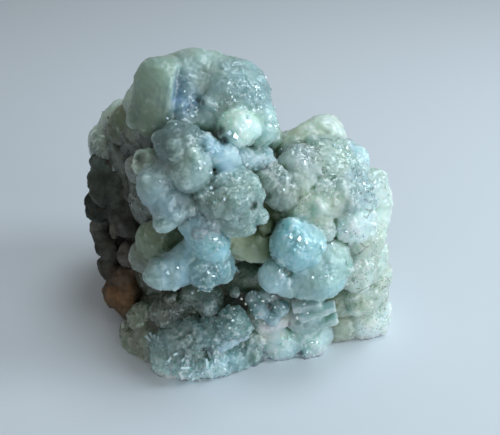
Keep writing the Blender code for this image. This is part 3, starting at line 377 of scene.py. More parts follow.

# %% [markdown]
# ## Finishes of the domes
# One stone, but not one colour. The crown is grey green and smooth, the middle is blue green, the right is
# the palest, sugary and peppered with black grains, and the hollows are given a painted olive shade in the
# material. Each dome gets a tint, a share of sugar (tiny crystal faces) and a share of pepper (grains). A
# few tints carry painted light: the shoulder's are darkened as painted shade, and the cave's are raised
# near white to stand for its glints.

# %% What each group of domes looks like: tint (linear red, green, blue), sugar, pepper
GROUP_FINISH = {
    "crown": ((0.37, 0.5, 0.44), 0.25, 0.05),
    # painted shade: the shoulder's tint is darkened for the shade that falls on it
    "shoulder": ((0.12, 0.15, 0.08), 0.25, 0.0),
    "column": ((0.33, 0.47, 0.46), 0.35, 0.0),
    "dome": ((0.27, 0.4, 0.38), 0.8, 0.15),
    "lower_left": ((0.31, 0.53, 0.59), 0.4, 0.0),
    "floor": ((0.38, 0.47, 0.31), 0.1, 0.0),
    "teal": ((0.34, 0.54, 0.54), 0.45, 0.05),
    "right": ((0.58, 0.7, 0.63), 0.55, 1.0),
    # painted highlight: the cave's tint is raised near white to stand for the glints in the hollow
    "cave": ((0.93, 1.0, 1.0), 0.85, 0.0),
    "foot": ((0.26, 0.44, 0.45), 0.75, 0.1),
    "small": ((0.39, 0.6, 0.69), 0.8, 0.0),
    "side": ((0.5, 0.63, 0.54), 0.5, 0.4),
}
OWN_FINISH = {
    "crown_left": ((0.25, 0.36, 0.3), 0.0, 0.15),
    "crown_left_low": ((0.18, 0.26, 0.19), 0.0, 0.15),
    "crown_left_edge": ((0.3, 0.41, 0.34), 0.1, 0.1),
    "crown_top": ((0.36, 0.48, 0.44), 0.05, 0.05),
    "crown_top_right": ((0.36, 0.49, 0.44), 0.1, 0.05),
    "crown_middle": ((0.16, 0.32, 0.51), 0.9, 0.0),
    "crown_right": ((0.31, 0.46, 0.47), 0.55, 0.1),
    "crown_right_edge": ((0.19, 0.28, 0.28), 0.7, 0.0),
    "crown_right_low": ((0.34, 0.49, 0.44), 0.3, 0.0),
    "crown_knob": ((0.66, 0.9, 0.8), 0.3, 0.0),
    "crown_knob_right": ((0.44, 0.62, 0.6), 0.6, 0.0),
    "crown_chin": ((0.33, 0.48, 0.48), 0.5, 0.0),
    # painted shade: these two are darkened further for the shade of the cavity under the shoulder
    "shoulder_right": ((0.12, 0.15, 0.09), 0.1, 0.0),
    "shoulder_low": ((0.07, 0.09, 0.05), 0.1, 0.0),
    "shoulder_left": ((0.23, 0.29, 0.25), 0.5, 0.0),
    "shoulder_left_low": ((0.12, 0.15, 0.11), 0.2, 0.0),
    "column_top": ((0.11, 0.18, 0.18), 0.3, 0.0),
    "column_left_top": ((0.34, 0.42, 0.35), 0.15, 0.0),
    "column_left_back": ((0.15, 0.16, 0.14), 0.1, 0.0),
    "column_left": ((0.29, 0.41, 0.42), 0.25, 0.0),
    "column_left_low": ((0.23, 0.35, 0.41), 0.25, 0.0),
    "neck_left": ((0.42, 0.6, 0.68), 0.8, 0.0),
    "neck": ((0.42, 0.6, 0.66), 0.8, 0.0),
    "hollow_dome": ((0.19, 0.26, 0.17), 0.0, 0.0),
    "hollow_low": ((0.17, 0.2, 0.16), 0.05, 0.0),
    "finger_tip": ((0.32, 0.44, 0.4), 0.05, 0.0),
    "finger": ((0.35, 0.54, 0.62), 0.15, 0.0),
    "ridge": ((0.33, 0.64, 0.74), 0.6, 0.0),
    "ridge_low": ((0.16, 0.32, 0.35), 0.6, 0.0),
    "olive_dome": ((0.6, 0.7, 0.5), 0.05, 0.0),
    "olive_left": ((0.46, 0.56, 0.38), 0.05, 0.0),
    "olive_back": ((0.24, 0.31, 0.18), 0.1, 0.0),
    "hollow_back": ((0.1, 0.17, 0.12), 0.1, 0.0),
    "teal_dome": ((0.34, 0.63, 0.69), 0.5, 0.0),
    "teal_low": ((0.35, 0.54, 0.53), 0.35, 0.0),
    "teal_right": ((0.38, 0.56, 0.52), 0.35, 0.2),
    "teal_knob": ((0.43, 0.63, 0.67), 0.5, 0.0),
    "peak": ((0.6, 0.71, 0.66), 0.0, 0.05),
    "peak_left": ((0.54, 0.65, 0.53), 0.0, 0.05),
    "peak_saddle": ((0.48, 0.58, 0.46), 0.1, 0.1),
    "upper_right": ((0.54, 0.72, 0.75), 0.4, 0.6),
    "upper_middle": ((0.42, 0.56, 0.5), 0.4, 1.0),
    "upper_left": ((0.44, 0.54, 0.54), 0.8, 0.3),
    "edge_top": ((0.62, 0.76, 0.72), 0.4, 0.5),
    "edge_middle": ((0.64, 0.76, 0.71), 0.4, 0.5),
    "edge_low": ((0.64, 0.76, 0.71), 0.4, 0.5),
    "right_dome": ((0.41, 0.55, 0.56), 0.5, 1.0),
    "honey_dome": ((0.58, 0.72, 0.62), 0.3, 0.6),
    "olive_knob": ((0.38, 0.46, 0.36), 0.0, 0.2),
    "twin_left": ((0.34, 0.43, 0.41), 0.6, 0.3),
    "twin_right": ((0.33, 0.42, 0.39), 0.6, 0.3),
    "right_middle": ((0.75, 0.94, 0.9), 0.6, 1.0),
    "flank": ((0.57, 0.69, 0.64), 0.6, 1.0),
    "flank_low": ((0.57, 0.68, 0.58), 0.6, 1.0),
    "flank_inner": ((0.46, 0.55, 0.43), 0.4, 0.8),
    "flank_foot": ((0.78, 0.93, 0.88), 0.5, 0.7),
    "flank_foot_right": ((0.74, 0.88, 0.83), 0.5, 0.7),
    "flank_foot_left": ((0.44, 0.52, 0.4), 0.15, 0.4),
    "cave_right": ((0.39, 0.53, 0.53), 0.1, 0.0),
    "cave_gap": ((0.44, 0.6, 0.6), 0.15, 0.0),
    "cave_left": ((0.2, 0.28, 0.24), 0.3, 0.0),
    "foot_bead": ((0.2, 0.3, 0.31), 0.4, 0.0),
    "foot_front": ((0.27, 0.4, 0.4), 0.8, 0.0),
    "toe": ((0.66, 0.99, 1.0), 1.0, 0.0),
    "toe_left": ((0.7, 1.0, 1.0), 1.0, 0.0),
    "toe_right": ((0.5, 0.74, 0.78), 0.9, 0.1),
    "foot_dome": ((0.13, 0.22, 0.21), 0.3, 0.0),
    "foot_right": ((0.7, 1.0, 1.0), 0.6, 0.0),
    "foot_right_low": ((0.7, 1.0, 1.0), 0.6, 0.0),
    "foot_right_edge": ((0.7, 1.0, 1.0), 0.6, 0.0),
    "foot_left": ((0.25, 0.26, 0.18), 0.5, 0.0),
    "foot_left_low": ((0.26, 0.3, 0.21), 0.5, 0.0),
    "foot_left_edge": ((0.23, 0.23, 0.17), 0.4, 0.0),
    "foot_left_back": ((0.25, 0.3, 0.22), 0.4, 0.0),
    "foot_shade": ((0.13, 0.15, 0.12), 0.5, 0.0),
    "foot_gap_fill": ((0.4, 0.54, 0.52), 0.1, 0.0),
    "foot_left_corner": ((0.25, 0.29, 0.21), 0.4, 0.0),
    "ridge_flake": ((0.26, 0.42, 0.46), 0.5, 0.0),
    "hollow_knob": ((0.12, 0.18, 0.17), 0.4, 0.0),
    # partly painted highlight: pale crystals, made paler still to stand for the cave's glints
    "cave_crystal_1": ((0.62, 0.82, 0.9), 1.0, 0.0),
    "cave_crystal_2": ((0.62, 0.82, 0.9), 1.0, 0.0),
    "cave_crystal_6": ((0.46, 0.62, 0.62), 0.2, 0.0),
    "filling": ((0.09, 0.11, 0.08), 0.2, 0.0),
}
print(len(OWN_FINISH), "domes have a finish of their own")

# %% [markdown]
# ## Growing the balls
# Beads are drawn from a fixed seed, in the order of the table, so each run gives the same stone and the
# same one as the solid. Blender's own noise is seeded too, as it would start from the clock. On top of
# the beads come grains: balls with radii of half a millimetre to nearly two, that only this finer skin
# can show.

# %% Balls, beads and grains
SEED = 11
noise.seed_set(SEED)
BEAD_SHARE = (0.28, 0.46)  # a bead's radius as a share of its dome's least one
BEAD_SEAT = 0.80
DOME_DETAIL, BEAD_DETAIL = 3, 2
GRAINS = (
    # radius in mm, how much of the radius is sunk, how many for each mm2 of full sugar
    ((1.0, 1.7), 0.74, 0.04),
    ((0.45, 0.85), 0.66, 0.13),
)
SHADES = (0.94, 1.06)
WARMTH = 0.04
WARPS = ((7.0, 0.55), (3.1, 0.22))  # wavelength and depth of the domes' unevenness


def any_direction(rng):
    """A direction picked evenly over the sphere."""
    z = rng.uniform(-1.0, 1.0)
    angle = rng.uniform(0.0, 2.0 * math.pi)
    flat = math.sqrt(1.0 - z * z)
    return Vector((flat * math.cos(angle), flat * math.sin(angle), z))


def stretched(direction, radii):
    return Vector((direction.x * radii.x, direction.y * radii.y, direction.z * radii.z))


def alike(radius):
    return Vector((radius, radius, radius))


domes = []
for group, rows in FRONT_DOMES.items():
    for name, right, up, y, radius, stretch, beads in rows:
        domes.append((group, name, place(right, up, y), Vector(stretch) * radius, beads))
for name, x, y, z, radius, stretch, beads in SIDE_DOMES:
    domes.append(("side", name, Vector((x, y, z)), Vector(stretch) * radius, beads))


class Ball:
    """One ball of the stone, with its finish a little off that of its neighbours."""

    def __init__(self, centre, radii, detail, finish, rng, broken=False):
        tint, self.sugar, self.pepper = finish
        shade = rng.uniform(*SHADES)
        warmth = rng.uniform(-WARMTH, WARMTH)
        self.tint = (tint[0] * shade * (1.0 + warmth), tint[1] * shade, tint[2] * shade * (1.0 - warmth))
        self.centre = centre
        self.radii = radii
        self.detail = detail
        self.broken = broken


bead_rng = random.Random(SEED)
grain_rng = random.Random(SEED + 5)
shade_rng = random.Random(SEED + 9)
balls = {}
for group, name, centre, radii, beads in domes:
    finish = OWN_FINISH.get(name, GROUP_FINISH[group])
    mine = balls.setdefault(group, [])
    mine.append(Ball(centre, radii, DOME_DETAIL, finish, shade_rng, name in BROKEN_DOMES))
    for _ in range(beads):
        seat = centre + stretched(any_direction(bead_rng), radii) * BEAD_SEAT
        radius = min(radii) * bead_rng.uniform(*BEAD_SHARE)
        mine.append(Ball(seat, alike(radius), BEAD_DETAIL, finish, shade_rng))
    for sizes, sunk, per_mm2 in GRAINS:
        for _ in range(round(per_mm2 * 4.0 * math.pi * min(radii) ** 2 * finish[1])):
            radius = grain_rng.uniform(*sizes)
            seat = centre + stretched(any_direction(grain_rng), radii - alike(radius * sunk))
            mine.append(Ball(seat, alike(radius), BEAD_DETAIL, finish, shade_rng))
for _, x, y, z, radius, stretch in FILLING:
    radii = Vector(stretch) * radius
    balls["side"].append(Ball(Vector((x, y, z)), radii, DOME_DETAIL, OWN_FINISH["filling"], shade_rng))
print({group: len(found) for group, found in balls.items()})

# %% [markdown]
# ## From balls to one skin
# Balls that only pass through each other leave hard, thin seams, and a Boolean of hundreds of them is
# slow. A voxel Remesh grows them into one closed skin instead, the way the real domes grew into each
# other.

# %% Helpers that make and fuse a mesh
FINE_CELL = 0.26
SIDE_CELL = 0.31
ROCK_CELL = 0.42


def new_object(name, bm):
    """The mesh, made in millimetres, as an object in metres."""
    bmesh.ops.scale(bm, vec=(MM, MM, MM), verts=bm.verts)
    mesh = bpy.data.meshes.new(name)
    bm.to_mesh(mesh)
    bm.free()
    obj = bpy.data.objects.new(name, mesh)
    bpy.context.scene.collection.objects.link(obj)
    return obj


def settle(obj):
    """Turns the modifiers' result into the object's own mesh."""
    bpy.context.view_layer.update()
    evaluated = obj.evaluated_get(bpy.context.evaluated_depsgraph_get())
    mesh = bpy.data.meshes.new_from_object(evaluated)
    obj.modifiers.clear()
    obj.data = mesh


def soften(obj, rounds):
    smooth = obj.modifiers.new("softened", "SMOOTH")
    smooth.factor = 0.5
    smooth.iterations = rounds
    settle(obj)


def fuse(obj, cell, rounds):
    """One closed skin round everything in the object, with its voxel steps smoothed away."""
    remesh = obj.modifiers.new("grown together", "REMESH")
    remesh.mode = "VOXEL"
    remesh.voxel_size = cell * MM
    soften(obj, rounds)


def add_ball(bm, centre, radii, detail):
    shape = Matrix.Translation(centre) @ Matrix.Diagonal((*radii, 1.0))
    return bmesh.ops.create_icosphere(bm, subdivisions=detail, radius=1.0, matrix=shape)["verts"]


def break_off(verts):
    """Flattens onto the break what stands to the right of it."""
    top, back, foot = (place(*point) for point in BREAK)
    outward = (foot - top).cross(back - top).normalized()
    for vert in verts:
        vert.co -= outward * max(0.0, (vert.co - top).dot(outward))


def turned(degrees):
    return Euler([math.radians(angle) for angle in degrees]).to_matrix().to_4x4()


def add_block(bm, shape, size):
    bmesh.ops.create_cube(bm, size=1.0, matrix=shape @ Matrix.Diagonal((*size, 1.0)))


def add_hull(bm, corners):
    hull = bmesh.ops.convex_hull(bm, input=[bm.verts.new(corner) for corner in corners])
    inside = [item for item in hull["geom_interior"] if isinstance(item, bmesh.types.BMVert)]
    bmesh.ops.delete(bm, geom=inside, context="VERTS")


def points_of(mesh):
    """The mesh's corners in millimetres, one row each."""
    flat = np.empty(len(mesh.vertices) * 3)
    mesh.vertices.foreach_get("co", flat)
    return flat.reshape(-1, 3) / MM


def normals_of(mesh):
    flat = np.empty(len(mesh.vertices) * 3)
    mesh.vertices.foreach_get("normal", flat)
    return flat.reshape(-1, 3)


def move_to(mesh, points):
    mesh.vertices.foreach_set("co", (points * MM).ravel())
    mesh.update()


# %% [markdown]
# ## Crystal relief
# Sugary prehnite is a crust of crystal corners. Worley noise splits space into cells, and inside each
# cell the skin is tilted like one small crystal face. Doing this to the mesh, not only to the shading,
# also roughens the outline, where the real stone shows a fine saw-tooth edge.

# %% Cells of random tilt
STRIDES = (73856093, 19349663, 83492791, 40503)
GROWTH, STEP = 1664525, 1013904223
LOW_BITS = 0xFFFFFFFF
CELL_TILT, CELL_STEP = 1.2, 0.8


def scrambled(cell, seed):
    """Six even random numbers from 0 to 1 for each cell of a lattice."""
    along_x, along_y, along_z, along_seed = STRIDES
    state = (cell[:, 0] * along_x) ^ (cell[:, 1] * along_y) ^ (cell[:, 2] * along_z) ^ (seed * along_seed)
    state &= LOW_BITS
    drawn = []
    for _ in range(6):
        state = (state * GROWTH + STEP) & LOW_BITS
        state ^= state >> 15
        drawn.append((state >> 8) / 2.0**24)
    return np.stack(drawn, axis=1)


def facets(points, size, seed):
    """A relief of tilted cells, about -1 to 1, with cells of this size in millimetres."""
    home = np.floor(points / size).astype(np.int64)
    nearest = np.full(len(points), np.inf)
    away = np.zeros_like(points)
    own = np.zeros_like(points)
    for step in itertools.product((-1, 0, 1), repeat=3):
        cell = home + step
        drawn = scrambled(cell, seed)
        offset = points - (cell + drawn[:, :3]) * size
        distance = (offset**2).sum(axis=1)
        closer = distance < nearest
        nearest[closer] = distance[closer]
        away[closer] = offset[closer]
        own[closer] = drawn[closer, 3:]
    tilt = (away * (own * 2.0 - 1.0)).sum(axis=1) / size
    return tilt * CELL_TILT + (own[:, 0] - 0.5) * CELL_STEP


def ridges(mesh, rounds):
    """How far each corner stands out of its surroundings, in millimetres: below zero in a crease."""
    count = len(mesh.vertices)
    ends = np.empty(len(mesh.edges) * 2, dtype=np.int32)
    mesh.edges.foreach_get("vertices", ends)
    one, other = ends[::2], ends[1::2]
    neighbours = np.bincount(one, minlength=count) + np.bincount(other, minlength=count)
    points = points_of(mesh)
    smooth = points
    for _ in range(rounds):
        columns = [
            np.bincount(one, smooth[other, axis], count) + np.bincount(other, smooth[one, axis], count)
            for axis in range(3)
        ]
        smooth = np.stack(columns, axis=1) / neighbours[:, None]
    return ((points - smooth) * normals_of(mesh)).sum(axis=1)


def swell(points, length):
    """Slow unevenness, about -1 to 1, one value for each point."""
    return np.array([noise.noise(Vector(point) / length) for point in points])


# %% [markdown]
# ## How open a place is
# The hollows get a painted shade: their colour is darkened and turned olive where the stone is closed in,
# and open domes stay pale. From each corner of the solid, rays go out over the half sphere, and the share
# that escapes says how open the place is. The solid is coarse, which is right here: the effect is a soft
# one.

# %% Openness, measured on the solid
RAYS = 40
RAY_REACH = 9.0
RAY_LIFT = 0.3
SPOTS_NEAR = 4
SPOT_BLUR = 0.4
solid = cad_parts["prehnite"]
tree = BVHTree.FromPolygons(
    [vert.co / MM for vert in solid.data.vertices], [face.vertices[:] for face in solid.data.polygons]
)
ray_rng = random.Random(3)
fan = [any_direction(ray_rng) for _ in range(RAYS)]
open_spots = []
for face in solid.data.polygons:
    start = face.center / MM + face.normal * RAY_LIFT
    ahead = [ray if ray.dot(face.normal) > 0.0 else -ray for ray in fan]
    escaped = sum(tree.ray_cast(start, ray, RAY_REACH)[0] is None for ray in ahead)
    open_spots.append((start, escaped / RAYS))
spot_tree = KDTree(len(open_spots))
for number, (spot, _) in enumerate(open_spots):
    spot_tree.insert(spot, number)
spot_tree.balance()


def openness(points):
    """How open each point is, 0 to 1, from the nearest measured spots."""
    found = np.empty(len(points))
    for row, point in enumerate(points):
        near = spot_tree.find_n(Vector(point), SPOTS_NEAR)
        weights = [1.0 / (SPOT_BLUR + distance) for _, _, distance in near]
        values = [open_spots[number][1] for _, number, _ in near]
        found[row] = sum(w * v for w, v in zip(weights, values)) / sum(weights)
    return found


print("mean openness:", round(sum(value for _, value in open_spots) / len(open_spots), 2))

# %% [markdown]
# ## Blending the finishes
# A hard edge between two tints would look painted. Each corner of the skin takes a mix of the finishes of
# the domes round it, weighted by how near their surfaces are, so that one colour drifts into the next.

# %% The finish of every corner of a skin
MIX_DISTANCE = 0.5
AT_ONCE = 4000
NO_LENGTH = 1e-9


def gaps_to(points, found):
    """How much further from each ball's surface than from the nearest one each point is, in millimetres."""
    centres = np.array([ball.centre for ball in found])
    radii = np.array([ball.radii for ball in found])
    scaled = (points[:, None] - centres) / radii
    gap = np.abs(np.linalg.norm(scaled, axis=2) - 1.0) * radii.min(axis=1)
    outward = scaled / radii
    outward /= np.linalg.norm(outward, axis=2, keepdims=True) + NO_LENGTH
    return gap - gap.min(axis=1, keepdims=True), outward


def melted(points, found, melt):
    """The points moved out of the creases, as if the domes had melted into each other."""
    big = [ball for ball in found if ball.detail == DOME_DETAIL]
    moved = np.empty_like(points)
    for start in range(0, len(points), AT_ONCE):
        part = points[start : start + AT_ONCE]
        gap, outward = gaps_to(part, big)
        weight = np.exp(-gap / melt)
        push = (outward * weight[:, :, None]).sum(axis=1)
        push /= np.linalg.norm(push, axis=1, keepdims=True) + NO_LENGTH
        moved[start : start + AT_ONCE] = part + push * (melt * np.log(weight.sum(axis=1)))[:, None]
    return moved


def mixed_finish(points, found):
    """Tint, sugar and pepper of each point of a skin made of these balls: five columns."""
    rows = np.array([(*ball.tint, ball.sugar, ball.pepper) for ball in found])
    mixed = np.empty((len(points), 5))
    for start in range(0, len(points), AT_ONCE):
        gap, _ = gaps_to(points[start : start + AT_ONCE], found)
        weight = np.exp(-gap / MIX_DISTANCE)
        mixed[start : start + AT_ONCE] = weight @ rows / weight.sum(axis=1, keepdims=True)
    return mixed


def store(mesh, name, values):
    """Keeps a number or a colour for each corner, for the materials to read."""
    if values.ndim == 1:
        mesh.attributes.new(name, "FLOAT", "POINT").data.foreach_set("value", values.astype(np.float32))
    else:
        rgba = np.column_stack([values, np.ones(len(values))]).astype(np.float32)
        mesh.attributes.new(name, "FLOAT_COLOR", "POINT").data.foreach_set("color", rgba.ravel())


# %% [markdown]
# ## The flat underside
# The stone stands by itself, on a flat break. The finished skin is cut level at z = 0, as the solid is.

# %% A level cut
CLEAR_OF_CUT = 0.03 * MM


def cut_level(obj):
    """Cuts the mesh at z = 0 and closes it. Corners move off the cut first, so that no slivers are left."""
    bm = bmesh.new()
    bm.from_mesh(obj.data)
    for vert in bm.verts:
        if abs(vert.co.z) < CLEAR_OF_CUT:
            vert.co.z = math.copysign(CLEAR_OF_CUT, vert.co.z)
    everything = [*bm.verts, *bm.edges, *bm.faces]
    level = {"plane_co": (0, 0, 0), "plane_no": (0, 0, 1)}
    bmesh.ops.bisect_plane(bm, geom=everything, dist=1e-9, clear_inner=True, **level)
    rim = [edge for edge in bm.edges if edge.is_boundary]
    bmesh.ops.triangle_fill(bm, edges=rim, use_beauty=True, normal=(0, 0, -1))
    bm.to_mesh(obj.data)
    bm.free()


def triangles(obj):
    return sum(len(face.vertices) - 2 for face in obj.data.polygons)


# %% [markdown]
# ## The skins of prehnite
# The stone is one thing, but its skin is made in four pieces that grow into each other, so that each can
# be fine enough for the crystal corners: the crown and column, the right-hand mass, the foot with the
# hollows, and the sides.

# %% Growing the skins
SKINS = {
    # groups of domes, over how many millimetres they melt into each other, how rough they are, the voxels
    "crown_and_column": (("crown", "shoulder", "column", "dome", "small"), 0.5, 1.0, FINE_CELL),
    "right_mass": (("teal", "right"), 1.2, 1.2, FINE_CELL),
    "foot_and_hollows": (("lower_left", "floor", "cave", "foot"), 0.8, 1.4, FINE_CELL),
    "sides": (("side",), 1.4, 1.2, SIDE_CELL),
}
SUGAR_PATCH = 3.2
PATCHINESS = 1.8
SWELL, SWELL_DEPTH = 2.2, 0.09
RELIEF = (
    # size of the cells, depth where smooth, how much more where sugary (mm), seed
    (1.1, 0.07, 0.06, 1),
    (0.62, 0.05, 0.08, 2),
    (2.6, 0.09, 0.10, 3),
)
RIDGE_ROUNDS = 12
FUSE_ROUNDS, MELT_ROUNDS = 2, 4
BLADE_SHAPE = (0.35, 0.6, 1.0)
BLADE_SIZES = (0.8, 1.2)
BLADE_PLACES = (0.3, 1.0)  # how far out in its sheaf a blade may stand


def add_blades(bm):
    """Sheaves of upright blades and the long plates beside the cave."""
    rng = random.Random(SEED + 1)
    for _, right, up, y, spread, count, length in SHEAVES:
        middle = place(right, up, y)
        for _ in range(count):
            at = middle + any_direction(rng) * spread * rng.uniform(*BLADE_PLACES)
            lean = turned([rng.uniform(-SHEAF_LEAN, SHEAF_LEAN) for _ in range(3)])
            grown = length * rng.uniform(*BLADE_SIZES)
            add_block(bm, Matrix.Translation(at) @ lean, [grown * share for share in BLADE_SHAPE])
    for right, up, y, length, turn in PLATES:
        lie = turned((0.0, -turn, 0.0))
        size = (length, PLATE_WIDTH, PLATE_THICKNESS)
        add_block(bm, Matrix.Translation(place(right, up, y)) @ lie, size)


def grow_skin(name, groups, melt, rough, cell):
    found = [ball for group in groups for ball in balls[group]]
    bm = bmesh.new()
    for ball in found:
        verts = add_ball(bm, ball.centre, ball.radii, ball.detail)
        if ball.broken:
            break_off(verts)
    for vert in bm.verts:
        for length, depth in WARPS:
            vert.co += noise.noise_vector(vert.co / length) * depth
    if "foot" in groups:
        add_blades(bm)
    skin = new_object(name, bm)
    fuse(skin, cell, FUSE_ROUNDS)
    points = points_of(skin.data)
    finish = mixed_finish(points, found)
    move_to(skin.data, melted(points, found, melt))
    soften(skin, MELT_ROUNDS)
    points = points_of(skin.data)
    sugar = np.clip(finish[:, 3] * (1.0 + PATCHINESS * swell(points, SUGAR_PATCH)), 0.0, 1.0)
    relief = swell(points, SWELL) * SWELL_DEPTH
    for size, smooth, sugary, seed in RELIEF:
        relief += facets(points, size, seed) * (smooth + sugary * sugar)
    points += normals_of(skin.data) * (relief * rough)[:, None]
    move_to(skin.data, points)
    store(skin.data, "tint", finish[:, :3])
    store(skin.data, "sugar", sugar)
    store(skin.data, "ridge", ridges(skin.data, RIDGE_ROUNDS))
    store(skin.data, "pepper", finish[:, 4])
    store(skin.data, "openness", openness(points))
    cut_level(skin)
    skin.data.shade_smooth()
    print(name, triangles(skin), "triangles")
    return skin


skins = {name: grow_skin(name, *row) for name, row in SKINS.items()}

# %% [markdown]
# ## Pits
# A few gaps are deeper than the solid can show, and darker by a painted shade. Each is pressed into the
# skin where a ray from the eye meets it: the corners nearby move inwards, and a painted shade takes most of
# their colour.

# %% Pressing the pits in
PITS = (
    # right, up, radius, depth (mm), how much colour the painted shade leaves
    (-8.0, 19.2, 0.55, 0.9, 0.15),
    (-7.8, -22.1, 0.6, 0.9, 0.12),
    (-5.0, 14.4, 1.0, 1.4, 0.25),
    (-4.2, 12.9, 0.9, 1.2, 0.30),
    (0.7, 1.9, 0.9, 1.4, 0.25),
    (-21.9, 12.2, 1.8, 1.8, 0.30),
    (-20.4, 10.2, 1.9, 1.8, 0.30),
    (-18.6, 9.8, 1.4, 1.6, 0.35),
    (8.3, -22.6, 0.7, 0.9, 0.35),
)


def ray_to(right, up):
    return (VIEW_RIGHT * right + VIEW_UP * up + VIEW_AHEAD * EYE_TO_PLANE).normalized()


def first_hit(right, up):
    """The skin seen at (right, up) and the point where it is met, in mm, or None."""
    hits = [(skin, skin.ray_cast(EYE * MM, ray_to(right, up))) for skin in skins.values()]
    met = [(skin, found[1] / MM) for skin, found in hits if found[0]]
    return min(met, key=lambda pair: (pair[1] - EYE).length) if met else None


for right, up, radius, depth, left in PITS:
    skin, where = first_hit(right, up)
    points = points_of(skin.data)
    share = np.clip(1.0 - np.linalg.norm(points - np.array(where), axis=1) / radius, 0.0, 1.0)
    colour = np.empty(len(points) * 4)
    skin.data.attributes["tint"].data.foreach_get("color", colour)
    colour = colour.reshape(-1, 4)
    # painted shade: the tint darkens towards the middle of the pit
    colour[:, :3] *= (1.0 - (1.0 - left) * np.sqrt(share))[:, None]
    skin.data.attributes["tint"].data.foreach_set("color", colour.ravel())
    move_to(skin.data, points + np.array(ray_to(right, up)) * (depth * share)[:, None])
print(len(PITS), "pits pressed in")

# %% [markdown]
# ## The host rock
# On the left and behind sits a remnant of the lava that the prehnite grew in: dark, broken along rough
# ledges, and rusty where water got in. Hulls of a few corners give the big breaks, leaning blocks give
# the ledges, and fractal noise breaks their faces.

# %% Breaking the rock
ROCK_GREY = (0.036, 0.042, 0.030)
ROCK_TINTS = {
    "left_under_shoulder": (0.1, 0.13, 0.11),
    "left_cavity_side": (0.05, 0.065, 0.045),
    "left_crumb_top": (0.11, 0.14, 0.11),
    "left_high": (0.045, 0.055, 0.038),
    "left_upper": (0.05, 0.055, 0.04),
    "left_strip": (0.075, 0.075, 0.062),
    "left_dark": (0.01, 0.018, 0.014),
    "left_middle": (0.022, 0.028, 0.02),
    "left_bead": (0.105, 0.09, 0.06),
    "left_grey": (0.07, 0.068, 0.06),
    "left_corner": (0.2, 0.19, 0.17),
    "left_pink": (0.115, 0.1, 0.088),
    "left_low": (0.04, 0.038, 0.028),
    "left_lower": (0.038, 0.032, 0.024),
    "rust_top": (0.08, 0.045, 0.026),
    "rust_side": (0.17, 0.08, 0.03),
    "rust_front": (0.2, 0.098, 0.038),
    "rust_foot": (0.085, 0.065, 0.036),
    "rust_lump": (0.16, 0.08, 0.032),
    "rust_lump_low": (0.11, 0.07, 0.036),
}
ROCK_MIX = 0.5
ROCK_EDGE = 0.9
ROCK_SWELL, ROCK_SWELL_DEPTH = 5.0, 0.55
ROCK_FRACTAL = (0.9, 2.1, 5)  # how fast it fades, how much finer each octave is, and how many there are
ROCK_RELIEF = ((2.4, 0.30, 7), (1.1, 0.16, 8))  # size of the cells, depth, seed


def rock_tint(points, lumps):
    """The colour of each point of the rock: that of the lumps it lies near, or plain grey green."""
    total = np.full(len(points), math.exp(-ROCK_EDGE / ROCK_MIX))
    mixed = total[:, None] * np.array(ROCK_GREY)
    for name, centre, radii in lumps:
        reach = np.linalg.norm((points - np.array(centre)) / np.array(radii), axis=1)
        weight = np.exp(-np.abs(reach - 1.0) * min(radii) / ROCK_MIX)
        total += weight
        mixed += weight[:, None] * np.array(ROCK_TINTS.get(name, ROCK_GREY))
    return mixed / total[:, None]


def grow_rock():
    bm = bmesh.new()
    lumps = []
    for name, x, y, z, radius, stretch in ROCK_LUMPS:
        lumps.append((name, Vector((x, y, z)), Vector(stretch) * radius))
    for name, right, up, y, radius, stretch in LEFT_LUMPS:
        lumps.append((name, place(right, up, y), Vector(stretch) * radius))
    for _, centre, radii in lumps:
        add_ball(bm, centre, radii, DOME_DETAIL)
    for corners in ROCK_BLOCKS.values():
        add_hull(bm, corners)
    rng = random.Random(SEED + 2)
    for low, high, least, most, count in LEDGES:
        for _ in range(count):
            at = Matrix.Translation([rng.uniform(*ends) for ends in zip(low, high)])
            lean = turned([rng.uniform(-LEDGE_LEAN, LEDGE_LEAN) for _ in range(3)])
            add_block(bm, at @ lean, [rng.uniform(*ends) for ends in zip(least, most)])
    rock = new_object("host_rock", bm)
    fuse(rock, ROCK_CELL, 1)
    points = points_of(rock.data)
    relief = np.array([noise.fractal(Vector(point) / ROCK_SWELL, *ROCK_FRACTAL) for point in points])
    relief *= ROCK_SWELL_DEPTH
    for size, depth, seed in ROCK_RELIEF:
        relief += facets(points, size, seed) * depth
    points += normals_of(rock.data) * relief[:, None]
    move_to(rock.data, points)
    store(rock.data, "tint", rock_tint(points, lumps))
    store(rock.data, "openness", openness(points))
    cut_level(rock)
    rock.data.shade_smooth()
    print("host_rock", triangles(rock), "triangles")
    return rock


rock = grow_rock()

# %% [markdown]
# ## Nodes without the clutter
# Materials and the scattering below are graphs of nodes. These helpers add a node, fill its inputs with
# values or links, and hand back its output, so that a graph reads from top to bottom like a recipe.

# %% Helpers for graphs of nodes
class Graph:
    """Adds nodes to a tree."""

    def __init__(self, tree):
        self.tree = tree

    def node(self, kind, settings=None, inputs=None):
        made = self.tree.nodes.new(kind)
        for name, value in (settings or {}).items():
            setattr(made, name, value)
        for name, value in (inputs or {}).items():
            self.feed(made.inputs[name], value)
        return made

    def feed(self, socket, value):
        if isinstance(value, bpy.types.NodeSocket):
            self.tree.links.new(value, socket)
        else:
            socket.default_value = value

    def math(self, operation, first, second):
        return self.node("ShaderNodeMath", {"operation": operation}, {0: first, 1: second}).outputs[0]


